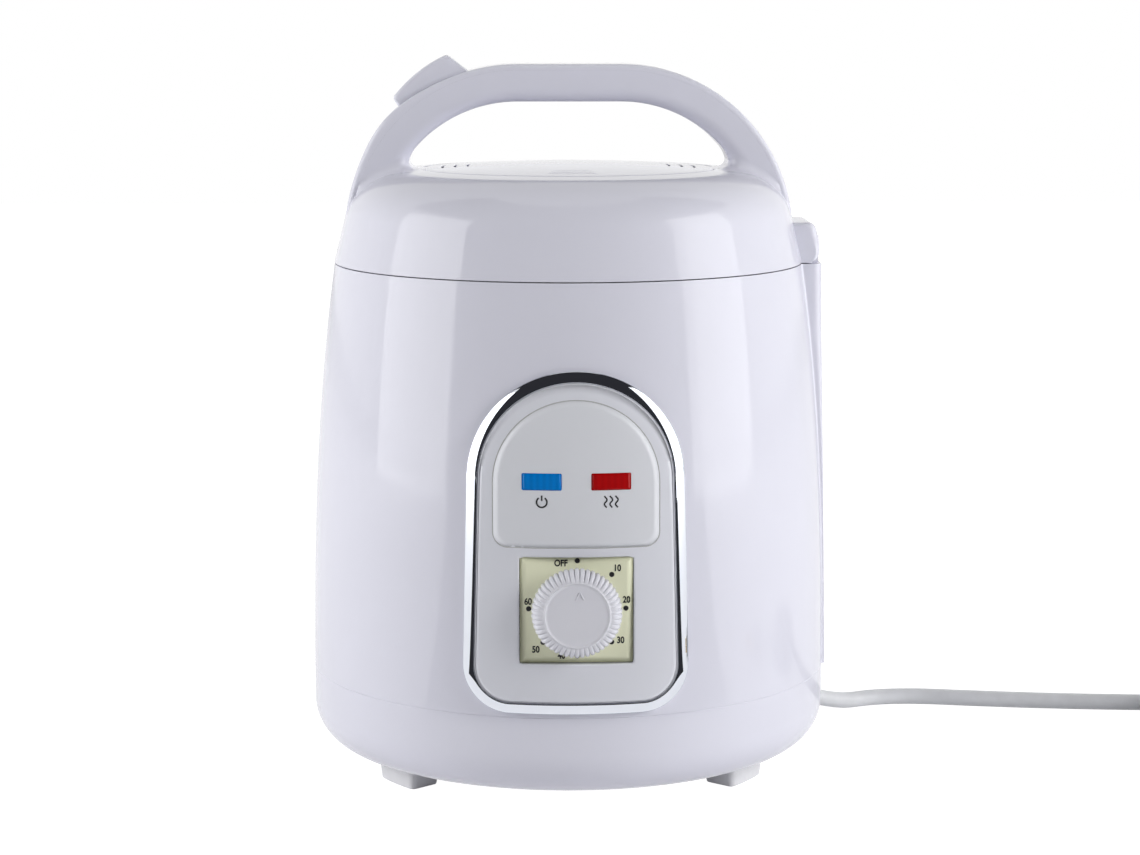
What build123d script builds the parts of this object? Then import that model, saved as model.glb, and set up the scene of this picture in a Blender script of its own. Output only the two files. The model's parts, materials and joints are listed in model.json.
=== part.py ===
from build123d import *
import os
from math import atan2, cos, degrees, hypot, pi, radians, sin, sqrt, tan

# A steam generator pot: a barrel-shaped body with a hinged lid, a carrying handle with a release button, a
# 60 minute timer and two indicator lamps, and inside it a lift-out water pot on a heating plate.
# Millimetres, +Z up. The origin is on the floor below the pot's axis. The control panel faces -Y, the lid's
# hinge is at +X and the release button at -X.

# ---------------------------------------------------------------- body
FOOT_HEIGHT = 8.0  # floor to the tray's underside
TRAY_HEIGHT = 29.3  # tray underside to the lower seam
SHELL_HEIGHT = 148.9  # lower seam to the lid seam
BODY_RADIUS = 95.0  # at the lower seam
BODY_NARROWING = 9.2  # how much smaller the radius is at the lid seam
BARREL_SHARE = 0.8  # how much of the narrowing follows the square of the height, the rest its fourth power
WALL = 2.5  # plastic wall of the shell, tray and lid
TRAY_CORNER_WIDTH = 15.6  # the tray's rounded lower edge
TRAY_CORNER_HEIGHT = 16.0
LID_GAP = 0.6  # open line between shell and lid
FIT = 0.15  # gap between moulded pieces that are fixed together
RUNNING = 0.05  # radial clearance of pins and shafts that turn
MOVING = 0.35  # gap beside pieces that move

SHELL_TOP_RADIUS = BODY_RADIUS - BODY_NARROWING
SEAM_LOW = FOOT_HEIGHT + TRAY_HEIGHT
SEAM_LID = SEAM_LOW + SHELL_HEIGHT
SHELL_TOP = SEAM_LID - LID_GAP / 2
TRAY_FLOOR = FOOT_HEIGHT + WALL

# feet: blocks cut from a ring
FOOT_SETBACK = 19.5  # from the body's widest radius to the feet
FOOT_OUTER = BODY_RADIUS - FOOT_SETBACK
FOOT_WIDTH = 14.0
FOOT_AZIMUTH = 33.5  # from the X axis
FOOT_SPAN = 20.0  # degrees
FOOT_PEG = 3.0
FOOT_DRAFT = 0.8  # narrower at the floor on each side

# hinge column on the shell
COLUMN_HALF = 15.5
COLUMN_STEP = 0.4  # how far its foot stands out of the body
COLUMN_TOP_STEP = 7.3  # and its head
COLUMN_LOW_REACH = BODY_RADIUS + COLUMN_STEP
COLUMN_TOP_REACH = SHELL_TOP_RADIUS + COLUMN_TOP_STEP
COLUMN_EDGE = 3.5
COLUMN_CAP = 3.5
HINGE_SETOUT = 2.2  # hinge axis outside the body at the lid seam
HINGE_X = SHELL_TOP_RADIUS + HINGE_SETOUT
HINGE_RISE = 4.8  # hinge axis above the lid seam
HINGE_Z = SEAM_LID + HINGE_RISE
PIN_RADIUS = 1.5
KNUCKLE_RADIUS = 4.2
KNUCKLE_HALF = 9.0
SPRING_POCKET_HALF = 5.4

# screws that hold the tray to the shell
POST_RADIUS = 4.2
POST_SETBACK = 17.0
POST_RING_RADIUS = BODY_RADIUS - POST_SETBACK
POST_ANGLES = (60, 120, 240, 300)
POST_STAND = 3.5  # height of the tray's own screw bosses
POST_FOOT = TRAY_FLOOR + POST_STAND
POST_HEIGHT = 56.0
RIB_HALF = 1.2
SCREW_RADIUS = 1.8
SCREW_HEAD = 3.8
SCREW_HEAD_HEIGHT = 2.0
SCREW_LENGTH = 16.0

# shield posts and cooling slots in the tray
SHIELD_POST_RADIUS = 4.5
SLOT_COUNT = 8
SLOT_START = 28.0
SLOT_LENGTH = 20.0
SLOT_HALF = 1.5

# ---------------------------------------------------------------- control panel
PANEL_PROUD = 2.2  # panel face in front of the shell
TRIM_PROUD = 2.7
TRIM_HALF_FOOT = 39.2
TRIM_HALF_TOP = 37.4
TRIM_RISE = 1.8  # above the lower seam
TRIM_HEIGHT = 117.7
TRIM_BOTTOM = SEAM_LOW + TRIM_RISE
TRIM_TOP = TRIM_BOTTOM + TRIM_HEIGHT
TRIM_CORNER = 16.0
TRIM_WIDTH = 3.6
TRIM_BEVEL = 1.4
LABEL_HALF = 28.5
LABEL_RISE = 57.9  # above the trim's foot
LABEL_HEIGHT = 50.2
LABEL_BOTTOM = TRIM_BOTTOM + LABEL_RISE
LABEL_TOP = LABEL_BOTTOM + LABEL_HEIGHT
LABEL_CORNER = 5.0
LABEL_DEPTH = 0.8
LENS_WIDTH = 13.6
LENS_HEIGHT = 5.8
LENS_X = 11.8
LENS_RISE = 22.6  # above the label's foot
LENS_Z = LABEL_BOTTOM + LENS_RISE
LENS_DEPTH = 3.2
LENS_PROUD = 0.2
LAMP_RADIUS = 2.4
HOLDER_DEPTH = 4.5
HOLDER_HALF = 21.5
HOLDER_HEIGHT = 9.0
DIAL_RISE = 36.2  # dial centre above the trim's foot
DIAL_Z = TRIM_BOTTOM + DIAL_RISE
DIAL_WIDTH = 39.0
DIAL_HEIGHT = 37.0
DIAL_SINK = 3.4  # dial face behind the body's widest radius
DIAL_FACE = BODY_RADIUS - DIAL_SINK
DIAL_THICK = 1.2
WINDOW_MARGIN = 1.0

# timer
CASE_HALF_WIDTH = 17.0
CASE_HALF_HEIGHT = 15.5
CASE_DEPTH = 17.6
CASE_BACK = DIAL_FACE - DIAL_THICK - CASE_DEPTH
BRACKET_SINK = 3.6  # bracket behind the dial's face
BRACKET_FACE = DIAL_FACE - BRACKET_SINK
BRACKET_BITE = 3.0
BRACKET_THICK = 1.1
BRACKET_HALF_WIDTH = 25.2
BRACKET_HALF_HEIGHT = 10.0
BRACKET_SCREW_X = 22.2
SMALL_SCREW = 1.3
SMALL_HEAD = 2.4
SMALL_HEAD_HEIGHT = 1.4
BOSS_RADIUS = 3.0
SHAFT_RADIUS = 3.0
SHAFT_FLAT = 2.2
KNOB_RADIUS = 15.5
KNOB_FACE_RADIUS = 11.0
KNOB_BACK_RADIUS = 13.6
KNOB_DEPTH = 12.4
KNOB_RIM = 6.0  # from the knob's back to its widest ring
KNOB_FLUTES = 50
FLUTE_DEPTH = 0.8
KNOB_SEAT = 0.6
KNOB_CAP = 3.0

# ---------------------------------------------------------------- pot and heater
POT_SETBACK = 19.8  # from the shell's edge in to the pot
POT_RADIUS = SHELL_TOP_RADIUS - POT_SETBACK
POT_WALL = 1.2
POT_CORNER = 12.0
FLANGE_WIDTH = 5.8
POT_FLANGE = POT_RADIUS + FLANGE_WIDTH
FLANGE_THICK = 1.0
COLLAR_THICK = 2.5
COLLAR_DROP = 1.6  # collar's face below the shell's edge
COLLAR_CLEAR = 1.5
COLLAR_BORE = POT_RADIUS + COLLAR_CLEAR
COLLAR_SKIRT = 7.5
COLLAR_FLANGE = 5.6
LEDGE_DEPTH = 3.2
LEDGE_THICK = 2.5
SHIELD_GAP = 5.5  # outside the pot
SHIELD_RADIUS = POT_RADIUS + SHIELD_GAP
SHIELD_POST_SETBACK = 13.5
SHIELD_POST_RING_RADIUS = SHIELD_RADIUS - SHIELD_POST_SETBACK
SHEET = 0.8
SHIELD_RISE = 39.5  # above the tray's floor
SHIELD_BOTTOM = TRAY_FLOOR + SHIELD_RISE
SHIELD_HOLE = 22.0
PLATE_SETBACK = 8.0  # from the pot's radius in to the plate's
PLATE_RADIUS = POT_RADIUS - PLATE_SETBACK
PLATE_THICK = 9.0
ELEMENT_SETBACK = 20.0
ELEMENT_RING_RADIUS = PLATE_RADIUS - ELEMENT_SETBACK
ELEMENT_RADIUS = 3.8
PILLAR_SETBACK = 6.0
PILLAR_RING_RADIUS = PLATE_RADIUS - PILLAR_SETBACK
PILLAR_HEIGHT = 4.2
PILLAR_RADIUS = 4.0
TERMINAL_X = 10.0
TERMINAL_Y = -12.0
TERMINAL_RADIUS = 2.0
TERMINAL_LENGTH = 13.0
THERMOSTAT_RADIUS = 8.0
THERMOSTAT_HEIGHT = 9.0
FUSE_RADIUS = 2.2
FUSE_LENGTH = 14.0
FUSE_Y = 14.0
BLOCK_SETBACK = 8.5  # terminal block inside the ring of shield posts
BLOCK_RING_RADIUS = SHIELD_POST_RING_RADIUS - BLOCK_SETBACK
BLOCK_X = -BLOCK_RING_RADIUS / sqrt(2)
BLOCK_Y = -BLOCK_X
BLOCK_SIZE = (20.0, 14.0, 12.0)
WIRE_RADIUS = 1.2
WIRE_BEND = 4.0
WIRE_END = 9.0  # straight run at each end
WIRE_SPACING = 3.6

COLLAR_TOP = SHELL_TOP - COLLAR_DROP
COLLAR_UNDER = COLLAR_TOP - COLLAR_THICK
COLLAR_RADIUS = SHELL_TOP_RADIUS - WALL - FIT
PLATE_UNDER = SHIELD_BOTTOM + SHEET + PILLAR_HEIGHT
POT_BOTTOM = PLATE_UNDER + PLATE_THICK

# ---------------------------------------------------------------- lid
LID_OVERHANG = 0.1
LID_RIM_RADIUS = SHELL_TOP_RADIUS + LID_OVERHANG
LID_LEAN = 13.4  # degrees that the side leans in
LID_HEIGHT = 35.6  # lid foot to the top of the dome
SHOULDER_RADIUS = 21.0
DOME_RADIUS = 810.0
LID_FOOT = SEAM_LID + LID_GAP / 2
CROWN_TOP = LID_FOOT + LID_HEIGHT

BLOCK_STEP = 4.4  # hinge block on the lid, outside the hinge axis
BLOCK_TOP_STEP = 2.4
BLOCK_REACH = HINGE_X + BLOCK_STEP
BLOCK_TOP_REACH = HINGE_X + BLOCK_TOP_STEP
BLOCK_HEIGHT = 15.6
BLOCK_ROOT = 10.0
BLOCK_INNER = HINGE_X - BLOCK_ROOT
BLOCK_TOP_EDGE = 4.5
CHEEK_CLEAR = 0.4

VENT_SETBACK = 31.9  # from the lid's rim in to the vent plate
VENT_RADIUS = LID_RIM_RADIUS - VENT_SETBACK
VENT_THICK = 1.4
VENT_LEDGE = 4.0
VENT_SKIRT = 3.0
SLOT_PITCH = 4.6
SLOT_MARGIN = 7.8  # from the plate's edge to the outer slots
SLOT_ROWS = 3
VENT_SLOT = 1.8
VENT_SLOT_LENGTH = 15.0
VENT_GROUPS = 4

LINER_LIFT = 1.5  # liner's face above the lid's foot
LINER_THICK = 2.2
LINER_CLEAR = 1.4
LINER_RADIUS = LID_RIM_RADIUS - WALL - LINER_CLEAR
STEAM_HOLE = 25.0
GASKET_SETBACK = 1.3  # inside the pot's flange
GASKET_WIDTH = 6.0
GASKET_OUTER = POT_FLANGE - GASKET_SETBACK
GASKET_INNER = GASKET_OUTER - GASKET_WIDTH
GASKET_GAP = 0.3
INNER_PLATE_CLEAR = 2.5
INNER_PLATE_RADIUS = GASKET_INNER - INNER_PLATE_CLEAR
INNER_PLATE_THICK = 1.0
PLATE_HOLES = 8
PLATE_HOLE_RING_RADIUS = 15.0
PLATE_HOLE = 2.5
LINER_SCREW_SETOUT = 3.0  # outside the vent plate's edge
LINER_SCREW_RING_RADIUS = VENT_RADIUS + LINER_SCREW_SETOUT
LINER_SCREW = 1.6
LINER_HEAD = 3.0
LINER_HEAD_HEIGHT = 1.3
LINER_SCREW_LENGTH = 12.0
LINER_POST = 4.0
BAFFLE_SETBACK = 8.0
BAFFLE_RADIUS = VENT_RADIUS - BAFFLE_SETBACK
BAFFLE_THICK = 1.2
BAFFLE_RISE = 16.0
BAFFLE_LEG = 2.0
BAFFLE_LEG_SETBACK = 6.0
BAFFLE_LEG_RING_RADIUS = BAFFLE_RADIUS - BAFFLE_LEG_SETBACK

LINER_UNDER = LID_FOOT + LINER_LIFT
LINER_TOP = LINER_UNDER + LINER_THICK

# ---------------------------------------------------------------- handle, button and latch
HANDLE_RISE = 36.2  # top of the handle above the lid's dome
HANDLE_HEIGHT = CROWN_TOP + HANDLE_RISE
HANDLE_ARC = 62.8  # outer radius of each end of the arch
HANDLE_SETBACK = 4.2  # from the lid's rim in to the handle's arms
HANDLE_ARC_X = LID_RIM_RADIUS - HANDLE_SETBACK - HANDLE_ARC
HANDLE_BAR = 13.6
HANDLE_HALF = 13.0
HANDLE_WALL = 2.2
COVER_THICK = 2.2
HANDLE_AXIS = HANDLE_HEIGHT - HANDLE_ARC
ARCH_INNER = HANDLE_ARC - HANDLE_BAR
CHANNEL_HALF = HANDLE_HALF - HANDLE_WALL
CHANNEL_OUTER = HANDLE_ARC - COVER_THICK - 1.5
CHANNEL_OPEN_RISE = 24.0  # the channel lies open under the cover from here up, above the lid's foot
ARM_ROOT = 14.0  # the arms start this far above the lid's foot

BUTTON_PLACE = 119.8  # direction of the button from the centre of the handle's arc, from +X
BUTTON_ANGLE = 122.2  # direction that the button faces
BUTTON_SINK = 0.8  # how far its frame lies under the handle's arc
BUTTON_LENGTH = 26.6
BUTTON_LOW = 3.9
BUTTON_HIGH = 7.5
BUTTON_CROWN = 1.6
BUTTON_SLANT = 2.2
BUTTON_HALF = 9.5
BUTTON_SKIRT = 3.3
BUTTON_LIP_HALF = 8.0  # the lips under the cover that keep the button in
BUTTON_LIP = 1.0
BUTTON_TRAVEL = 3.0
STEM_AT = -10.6
STEM_WIDTH = 4.0
STEM_DEPTH = 4.7
STEM_HALF = 3.0
SPRING_AT = 4.0

LATCH_ARM = 28.65  # from the pivot to where the button's stem pushes
LATCH_TURN = degrees(BUTTON_TRAVEL / LATCH_ARM)
LATCH_SETBACK = 13.4  # pivot inside the lid's rim
LATCH_RISE = 18.5  # pivot above the handle's arc centre
LATCH_X = LATCH_SETBACK - LID_RIM_RADIUS
LATCH_Z = HANDLE_AXIS + LATCH_RISE
LATCH_BAR = 2.4
LATCH_HALF = 4.0
LATCH_BOSS = 2.8
LATCH_PIN = 1.2
LATCH_KNEE_OUT = 4.0
LATCH_KNEE_DROP = 9.5
LATCH_BAR_X = LATCH_X - LATCH_KNEE_OUT
LATCH_KNEE_Z = LATCH_Z - LATCH_KNEE_DROP
LATCH_TIP = 1.6
NOSE_HEIGHT = 2.5
NOSE_REACH = 3.1
CATCH_WIDTH = 2.8
POCKET_HALF = 7.0
CHEEK_THICK = 2.0
CHEEK_REACH = 3.0
CHEEK_TOP = 5.0

# ---------------------------------------------------------------- cord
CORD_DIAMETER = 6.3
EXIT_AZIMUTH = 28.15
EXIT_SLOPE = 19.3
EXIT_SINK = 3.2  # inside the body's widest radius
EXIT_RISE = 6.6  # above the tray's underside
EXIT_RADIUS = BODY_RADIUS - EXIT_SINK
EXIT_HEIGHT = FOOT_HEIGHT + EXIT_RISE
BOOT_SEAT = -7.0  # the flat inside the tray that the flange bears on
BOOT_LENGTH = 19.5
CORD_FIRST_RUN = 14.0
BOOT_START_RADIUS = 5.6
BOOT_END_RADIUS = 4.2
BOOT_FLANGE = 6.0
BOOT_FLANGE_THICK = 2.0
BOOT_INSIDE = BOOT_FLANGE_THICK - BOOT_SEAT
BOOT_NECK = 4.6
COIL_X = 280.0
COIL_Y = 15.2
COIL_MID = 34.5
COIL_HALF_WIDTH = 6.6
COIL_HEIGHT = 19.4
TIE_THICK = 0.8
TIE_HALF = 4.0
PLUG_LENGTH = 34.0
PLUG_WIDTH = 28.0
PLUG_THICK = 14.0
PLUG_NECK = 10.0
PLUG_NECK_RADIUS = 4.6
PLUG_PIN_RADIUS = 2.4
PLUG_PIN_LENGTH = 19.0
PLUG_PIN_HALF_SPACING = 9.5
PLUG_EDGE = 4.0
FLOOR_LIFT = 0.15
CORD_Z = CORD_DIAMETER / 2 + FLOOR_LIFT

FAR = 400.0  # a reach past the whole object, for cutting solids
BARREL_RUN = 2.0  # the barrel formula is drawn this far past both seams
BARREL_STEPS = 6

NODES = {}


def keep(name, shape):
    """Stores one node's solids under the name of its file."""
    NODES[name] = shape


# ---------------------------------------------------------------- building blocks
def rod(radius, z0, z1, x=0.0, y=0.0):
    """An upright round bar."""
    return Pos(x, y, z0) * Cylinder(radius, z1 - z0, align=(Align.CENTER, Align.CENTER, Align.MIN))


def pipe(outer, inner, z0, z1, x=0.0, y=0.0):
    """An upright ring."""
    return rod(outer, z0, z1, x, y) - rod(inner, z0 - 1, z1 + 1, x, y)


def slab(x0, x1, y0, y1, z0, z1):
    """A rectangular block between two corners."""
    return Pos((x0 + x1) / 2, (y0 + y1) / 2, (z0 + z1) / 2) * Box(x1 - x0, y1 - y0, z1 - z0)


def cross_rod(radius, x, z, y0, y1):
    """A round bar along Y."""
    bar = Cylinder(radius, y1 - y0, align=(Align.CENTER, Align.CENTER, Align.MIN))
    return Pos(x, y0, z) * (Rot(-90, 0, 0) * bar)


def polar(radius, angle):
    """A point on a circle round the pot's axis."""
    return radius * cos(radians(angle)), radius * sin(radians(angle))


def turned(*edges):
    """A solid of revolution about Z from edges drawn in radius and height."""
    return revolve(Plane.XZ * make_face(list(edges)), Axis.Z)


def upright(sketch, depth, both=False):
    """Extrudes a sketch drawn in X and Z towards the front, or both ways from the middle."""
    return extrude(Plane.XZ * sketch, amount=depth, both=both)


def shell_radius(z):
    """Outer radius of the barrel at a height: it narrows towards the lid in a smooth curve."""
    u = (z - SEAM_LOW) / SHELL_HEIGHT
    drop = BARREL_SHARE * u**2 + (1 - BARREL_SHARE) * u**4
    return BODY_RADIUS - (BODY_RADIUS - SHELL_TOP_RADIUS) * drop


def barrel(offset):
    """The barrel as a full solid, larger or smaller by an offset, running a little past both seams."""
    low, high = SEAM_LOW - BARREL_RUN, SEAM_LID + BARREL_RUN
    heights = [low + (high - low) * i / BARREL_STEPS for i in range(BARREL_STEPS + 1)]
    side = [(shell_radius(z) + offset, z) for z in heights]
    return turned(
        Line((0, low), side[0]),
        Spline(*side),
        Line(side[-1], (0, high)),
        Line((0, high), (0, low)),
    )


def between(z0, z1):
    """All space between two heights."""
    return slab(-FAR, FAR, -FAR, FAR, z0, z1)


def barrel_layer(inner, outer):
    """A layer of the barrel's wall between two offsets from the shell's face."""
    return barrel(outer) - barrel(inner)


def arch_sketch(half_foot, half_top, bottom, top, corner):
    """An arched outline: sides that lean in, a half-round top and two rounded lower corners."""
    shoulder = top - half_top
    face = make_face([
        Line((-half_foot, bottom), (half_foot, bottom)),
        Line((half_foot, bottom), (half_top, shoulder)),
        ThreePointArc((half_top, shoulder), (0, top), (-half_top, shoulder)),
        Line((-half_top, shoulder), (-half_foot, bottom)),
    ])
    return fillet(face.vertices().sort_by(Axis.Y)[:2], corner)


def front_arch(inset, half_foot, half_top, bottom, top, corner):
    """The arched outline as a prism from the pot's axis towards the front."""
    sketch = arch_sketch(half_foot - inset, half_top - inset, bottom + inset, top - inset, corner - inset)
    return upright(sketch, FAR)


# ---------------------------------------------------------------- shell, tray and feet
def hinge_column():
    """The upright column on the shell's side, with its outer edges rounded."""
    outline = Polyline(
        (HINGE_X - 2 * KNUCKLE_RADIUS, SEAM_LOW),
        (COLUMN_LOW_REACH, SEAM_LOW),
        (COLUMN_TOP_REACH, SHELL_TOP),
        (HINGE_X - 2 * KNUCKLE_RADIUS, SHELL_TOP),
        close=True,
    )
    column = upright(make_face(outline.edges()), COLUMN_HALF, both=True)
    edges = column.edges().filter_by(lambda e: abs(e.tangent_at(0.5).Z) > 0.9)
    return fillet(edges.sort_by(Axis.X)[-2:], COLUMN_EDGE)


def column_hollow():
    """The space inside the hinge column, open to the inside of the shell."""
    outline = Polyline(
        (0, SEAM_LOW - 1),
        (COLUMN_LOW_REACH - WALL, SEAM_LOW - 1),
        (COLUMN_TOP_REACH - WALL, SHELL_TOP - COLUMN_CAP),
        (0, SHELL_TOP - COLUMN_CAP),
        close=True,
    )
    return upright(make_face(outline.edges()), COLUMN_HALF - WALL, both=True)


def hinge_knuckle():
    """The two eyes on top of the column that hold the hinge pin, with the spring's pocket between them."""
    eye = cross_rod(KNUCKLE_RADIUS, HINGE_X, HINGE_Z, -KNUCKLE_HALF, KNUCKLE_HALF)
    stem = slab(
        HINGE_X - KNUCKLE_RADIUS + MOVING,
        HINGE_X + KNUCKLE_RADIUS - MOVING,
        -KNUCKLE_HALF,
        KNUCKLE_HALF,
        SHELL_TOP - 1,
        HINGE_Z,
    )
    pocket = slab(0, FAR, -SPRING_POCKET_HALF, SPRING_POCKET_HALF, SHELL_TOP, FAR)
    return eye + stem - pocket


def shell_posts():
    """Screw posts inside the shell, each held to the wall by a rib."""
    posts = []
    for angle in POST_ANGLES:
        x, y = polar(POST_RING_RADIUS, angle)
        post = rod(POST_RADIUS, POST_FOOT, POST_FOOT + POST_HEIGHT, x, y)
        rib = Rot(0, 0, angle) * slab(
            POST_RING_RADIUS, BODY_RADIUS, -RIB_HALF, RIB_HALF, SEAM_LOW + WALL, POST_FOOT + POST_HEIGHT
        )
        posts.append(post + rib)
    return posts


def bracket_screw(side):
    """The shank of one of the timer's screws."""
    back = BRACKET_THICK - BRACKET_FACE
    return cross_rod(SMALL_SCREW, side * BRACKET_SCREW_X, DIAL_Z, -BRACKET_FACE - BRACKET_BITE, back)


def bracket_bosses():
    """Bosses behind the dial's window that take the timer bracket's screws."""
    return [
        cross_rod(BOSS_RADIUS, side * BRACKET_SCREW_X, DIAL_Z, -BODY_RADIUS, -BRACKET_FACE)
        for side in (-1, 1)
    ]


def collar_ledge():
    """The ring inside the shell that carries the collar."""
    top = COLLAR_UNDER - COLLAR_FLANGE
    outer = shell_radius(top) - WALL
    return pipe(outer + WALL / 2, outer - LEDGE_DEPTH, top - LEDGE_THICK, top)


def make_shell():
    """The outer body: barrel wall, hinge column, windows, screw posts and the collar's ledge."""
    outer = (barrel(0) & between(SEAM_LOW, SHELL_TOP)) + hinge_column()
    shell = outer - barrel(-WALL) - column_hollow() + collar_ledge() + hinge_knuckle()
    inside = barrel(-WALL / 2) + rod(BODY_RADIUS - 2 * WALL, 0, SEAM_LOW)
    shell += [part & inside for part in shell_posts() + bracket_bosses()]
    half_width = DIAL_WIDTH / 2 + WINDOW_MARGIN
    half_height = DIAL_HEIGHT / 2 + WINDOW_MARGIN
    shell -= slab(-half_width, half_width, -FAR, -CASE_BACK, DIAL_Z - half_height, DIAL_Z + half_height)
    lamp_half = LENS_X + LENS_WIDTH / 2 + FIT
    lamp_rise = LENS_HEIGHT / 2 + FIT
    shell -= slab(-lamp_half, lamp_half, -FAR, -POT_RADIUS, LENS_Z - lamp_rise, LENS_Z + lamp_rise)
    for angle in POST_ANGLES:
        shell -= rod(SCREW_RADIUS, POST_FOOT - 1, POST_FOOT + SCREW_LENGTH, *polar(POST_RING_RADIUS, angle))
    for side in (-1, 1):
        shell -= bracket_screw(side)
    shell -= cross_rod(PIN_RADIUS, HINGE_X, HINGE_Z, -FAR, FAR)
    keep("shell", shell)


def tray_cup(inset):
    """The tray as a full solid with its elliptical lower edge, smaller by an inset."""
    width, height = TRAY_CORNER_WIDTH - inset, TRAY_CORNER_HEIGHT - inset
    centre = (BODY_RADIUS - TRAY_CORNER_WIDTH, FOOT_HEIGHT + TRAY_CORNER_HEIGHT)
    bottom = FOOT_HEIGHT + inset
    return turned(
        Line((0, bottom), (centre[0], bottom)),
        EllipticalCenterArc(centre, width, height, start_angle=270, arc_size=90),
        Line((BODY_RADIUS - inset, centre[1]), (BODY_RADIUS - inset, SEAM_LOW)),
        Line((BODY_RADIUS - inset, SEAM_LOW), (0, SEAM_LOW)),
        Line((0, SEAM_LOW), (0, bottom)),
    )


def exit_plane(distance=0.0):
    """A plane across the cord's exit, at a distance outwards along the exit's axis."""
    x, y = polar(1.0, EXIT_AZIMUTH)
    fall = tan(radians(EXIT_SLOPE))
    axis = Vector(x, y, -fall).normalized()
    start = Vector(EXIT_RADIUS * x, EXIT_RADIUS * y, EXIT_HEIGHT)
    return Plane(origin=start + axis * distance, z_dir=axis)


def along_exit(radius, start, end, end_radius=None):
    """A round piece on the cord's exit axis, tapering if it has an end radius."""
    align = (Align.CENTER, Align.CENTER, Align.MIN)
    if end_radius is None:
        return exit_plane(start) * Cylinder(radius, end - start, align=align)
    return exit_plane(start) * Cone(radius, end_radius, end - start, align=align)


def make_tray():
    """The lower cup with its screw bosses, cooling slots, shield posts and the cord's hole."""
    tray = tray_cup(0) - tray_cup(WALL)
    tray -= rod(BODY_RADIUS - WALL, SEAM_LOW - 1, SEAM_LOW + 1)
    for angle in POST_ANGLES:
        x, y = polar(POST_RING_RADIUS, angle)
        tray += rod(POST_RADIUS, TRAY_FLOOR, POST_FOOT, x, y)
        tray -= rod(SCREW_RADIUS, 0, FAR, x, y)
        tray -= rod(SCREW_HEAD + FIT, 0, FOOT_HEIGHT + SCREW_HEAD_HEIGHT, x, y)
    for i in range(3):
        x, y = polar(SHIELD_POST_RING_RADIUS, 120 * i)
        tray += rod(SHIELD_POST_RADIUS, TRAY_FLOOR, SHIELD_BOTTOM, x, y)
    for i in range(SLOT_COUNT):
        slot = slab(SLOT_START, SLOT_START + SLOT_LENGTH, -SLOT_HALF, SLOT_HALF, 0, TRAY_FLOOR + 1)
        tray -= Rot(0, 0, 360 / SLOT_COUNT * (i + 0.5)) * slot
    for angle in foot_angles().values():
        tray -= rod(FOOT_PEG, 0, FAR, *polar(FOOT_OUTER - FOOT_WIDTH / 2, angle))
    tray += along_exit(BOOT_FLANGE + WALL / 2, BOOT_SEAT, 0) & tray_cup(WALL / 2)
    tray -= along_exit(BOOT_NECK + FIT, BOOT_SEAT - 1, 3 * WALL)
    keep("base_tray", tray)


def foot_angles():
    """The four feet's names and directions."""
    return {
        "foot_rear_right": FOOT_AZIMUTH,
        "foot_rear_left": 180 - FOOT_AZIMUTH,
        "foot_front_left": 180 + FOOT_AZIMUTH,
        "foot_front_right": 360 - FOOT_AZIMUTH,
    }


def foot_block():
    """One foot: a piece of a ring, a little narrower at the floor, starting at the X axis."""
    inner, outer = FOOT_OUTER - FOOT_WIDTH, FOOT_OUTER
    outline = Polyline(
        (inner + FOOT_DRAFT, 0), (outer - FOOT_DRAFT, 0), (outer, FOOT_HEIGHT), (inner, FOOT_HEIGHT), close=True
    )
    return revolve(Plane.XZ * make_face(outline.edges()), Axis.Z, revolution_arc=FOOT_SPAN)


def make_feet():
    """Four block feet with pegs up through the tray."""
    middle = FOOT_OUTER - FOOT_WIDTH / 2
    for name, angle in foot_angles().items():
        peg = rod(FOOT_PEG, FOOT_HEIGHT, TRAY_FLOOR + WALL, *polar(middle, angle))
        block = Rot(0, 0, angle - FOOT_SPAN / 2) * foot_block()
        keep(name, block + peg)


def make_base_screws():
    """Four screws from under the tray up into the shell's posts."""
    screws = []
    for angle in POST_ANGLES:
        x, y = polar(POST_RING_RADIUS, angle)
        head = rod(SCREW_HEAD, FOOT_HEIGHT, FOOT_HEIGHT + SCREW_HEAD_HEIGHT, x, y)
        shank = rod(SCREW_RADIUS, FOOT_HEIGHT, FOOT_HEIGHT + SCREW_HEAD_HEIGHT + SCREW_LENGTH, x, y)
        screws.append(head + shank)
    keep("base_screws", Compound(children=screws))


# ---------------------------------------------------------------- control panel
def trim_arch(inset):
    """The chrome frame's outline as a prism, smaller by an inset."""
    return front_arch(inset, TRIM_HALF_FOOT, TRIM_HALF_TOP, TRIM_BOTTOM, TRIM_TOP, TRIM_CORNER)


def label_arch(inset):
    """The label's outline as a prism, smaller by an inset."""
    return front_arch(inset, LABEL_HALF, LABEL_HALF, LABEL_BOTTOM, LABEL_TOP, LABEL_CORNER)


def lens_box(side, inset):
    """The space of one indicator lens."""
    half_width, half_height = LENS_WIDTH / 2 - inset, LENS_HEIGHT / 2 - inset
    x = side * LENS_X
    return slab(x - half_width, x + half_width, -FAR, 0, LENS_Z - half_height, LENS_Z + half_height)


def dial_window(inset):
    """The space of the dial's square window."""
    half_width, half_height = DIAL_WIDTH / 2 - inset, DIAL_HEIGHT / 2 - inset
    return slab(-half_width, half_width, -FAR, 0, DIAL_Z - half_height, DIAL_Z + half_height)


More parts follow.
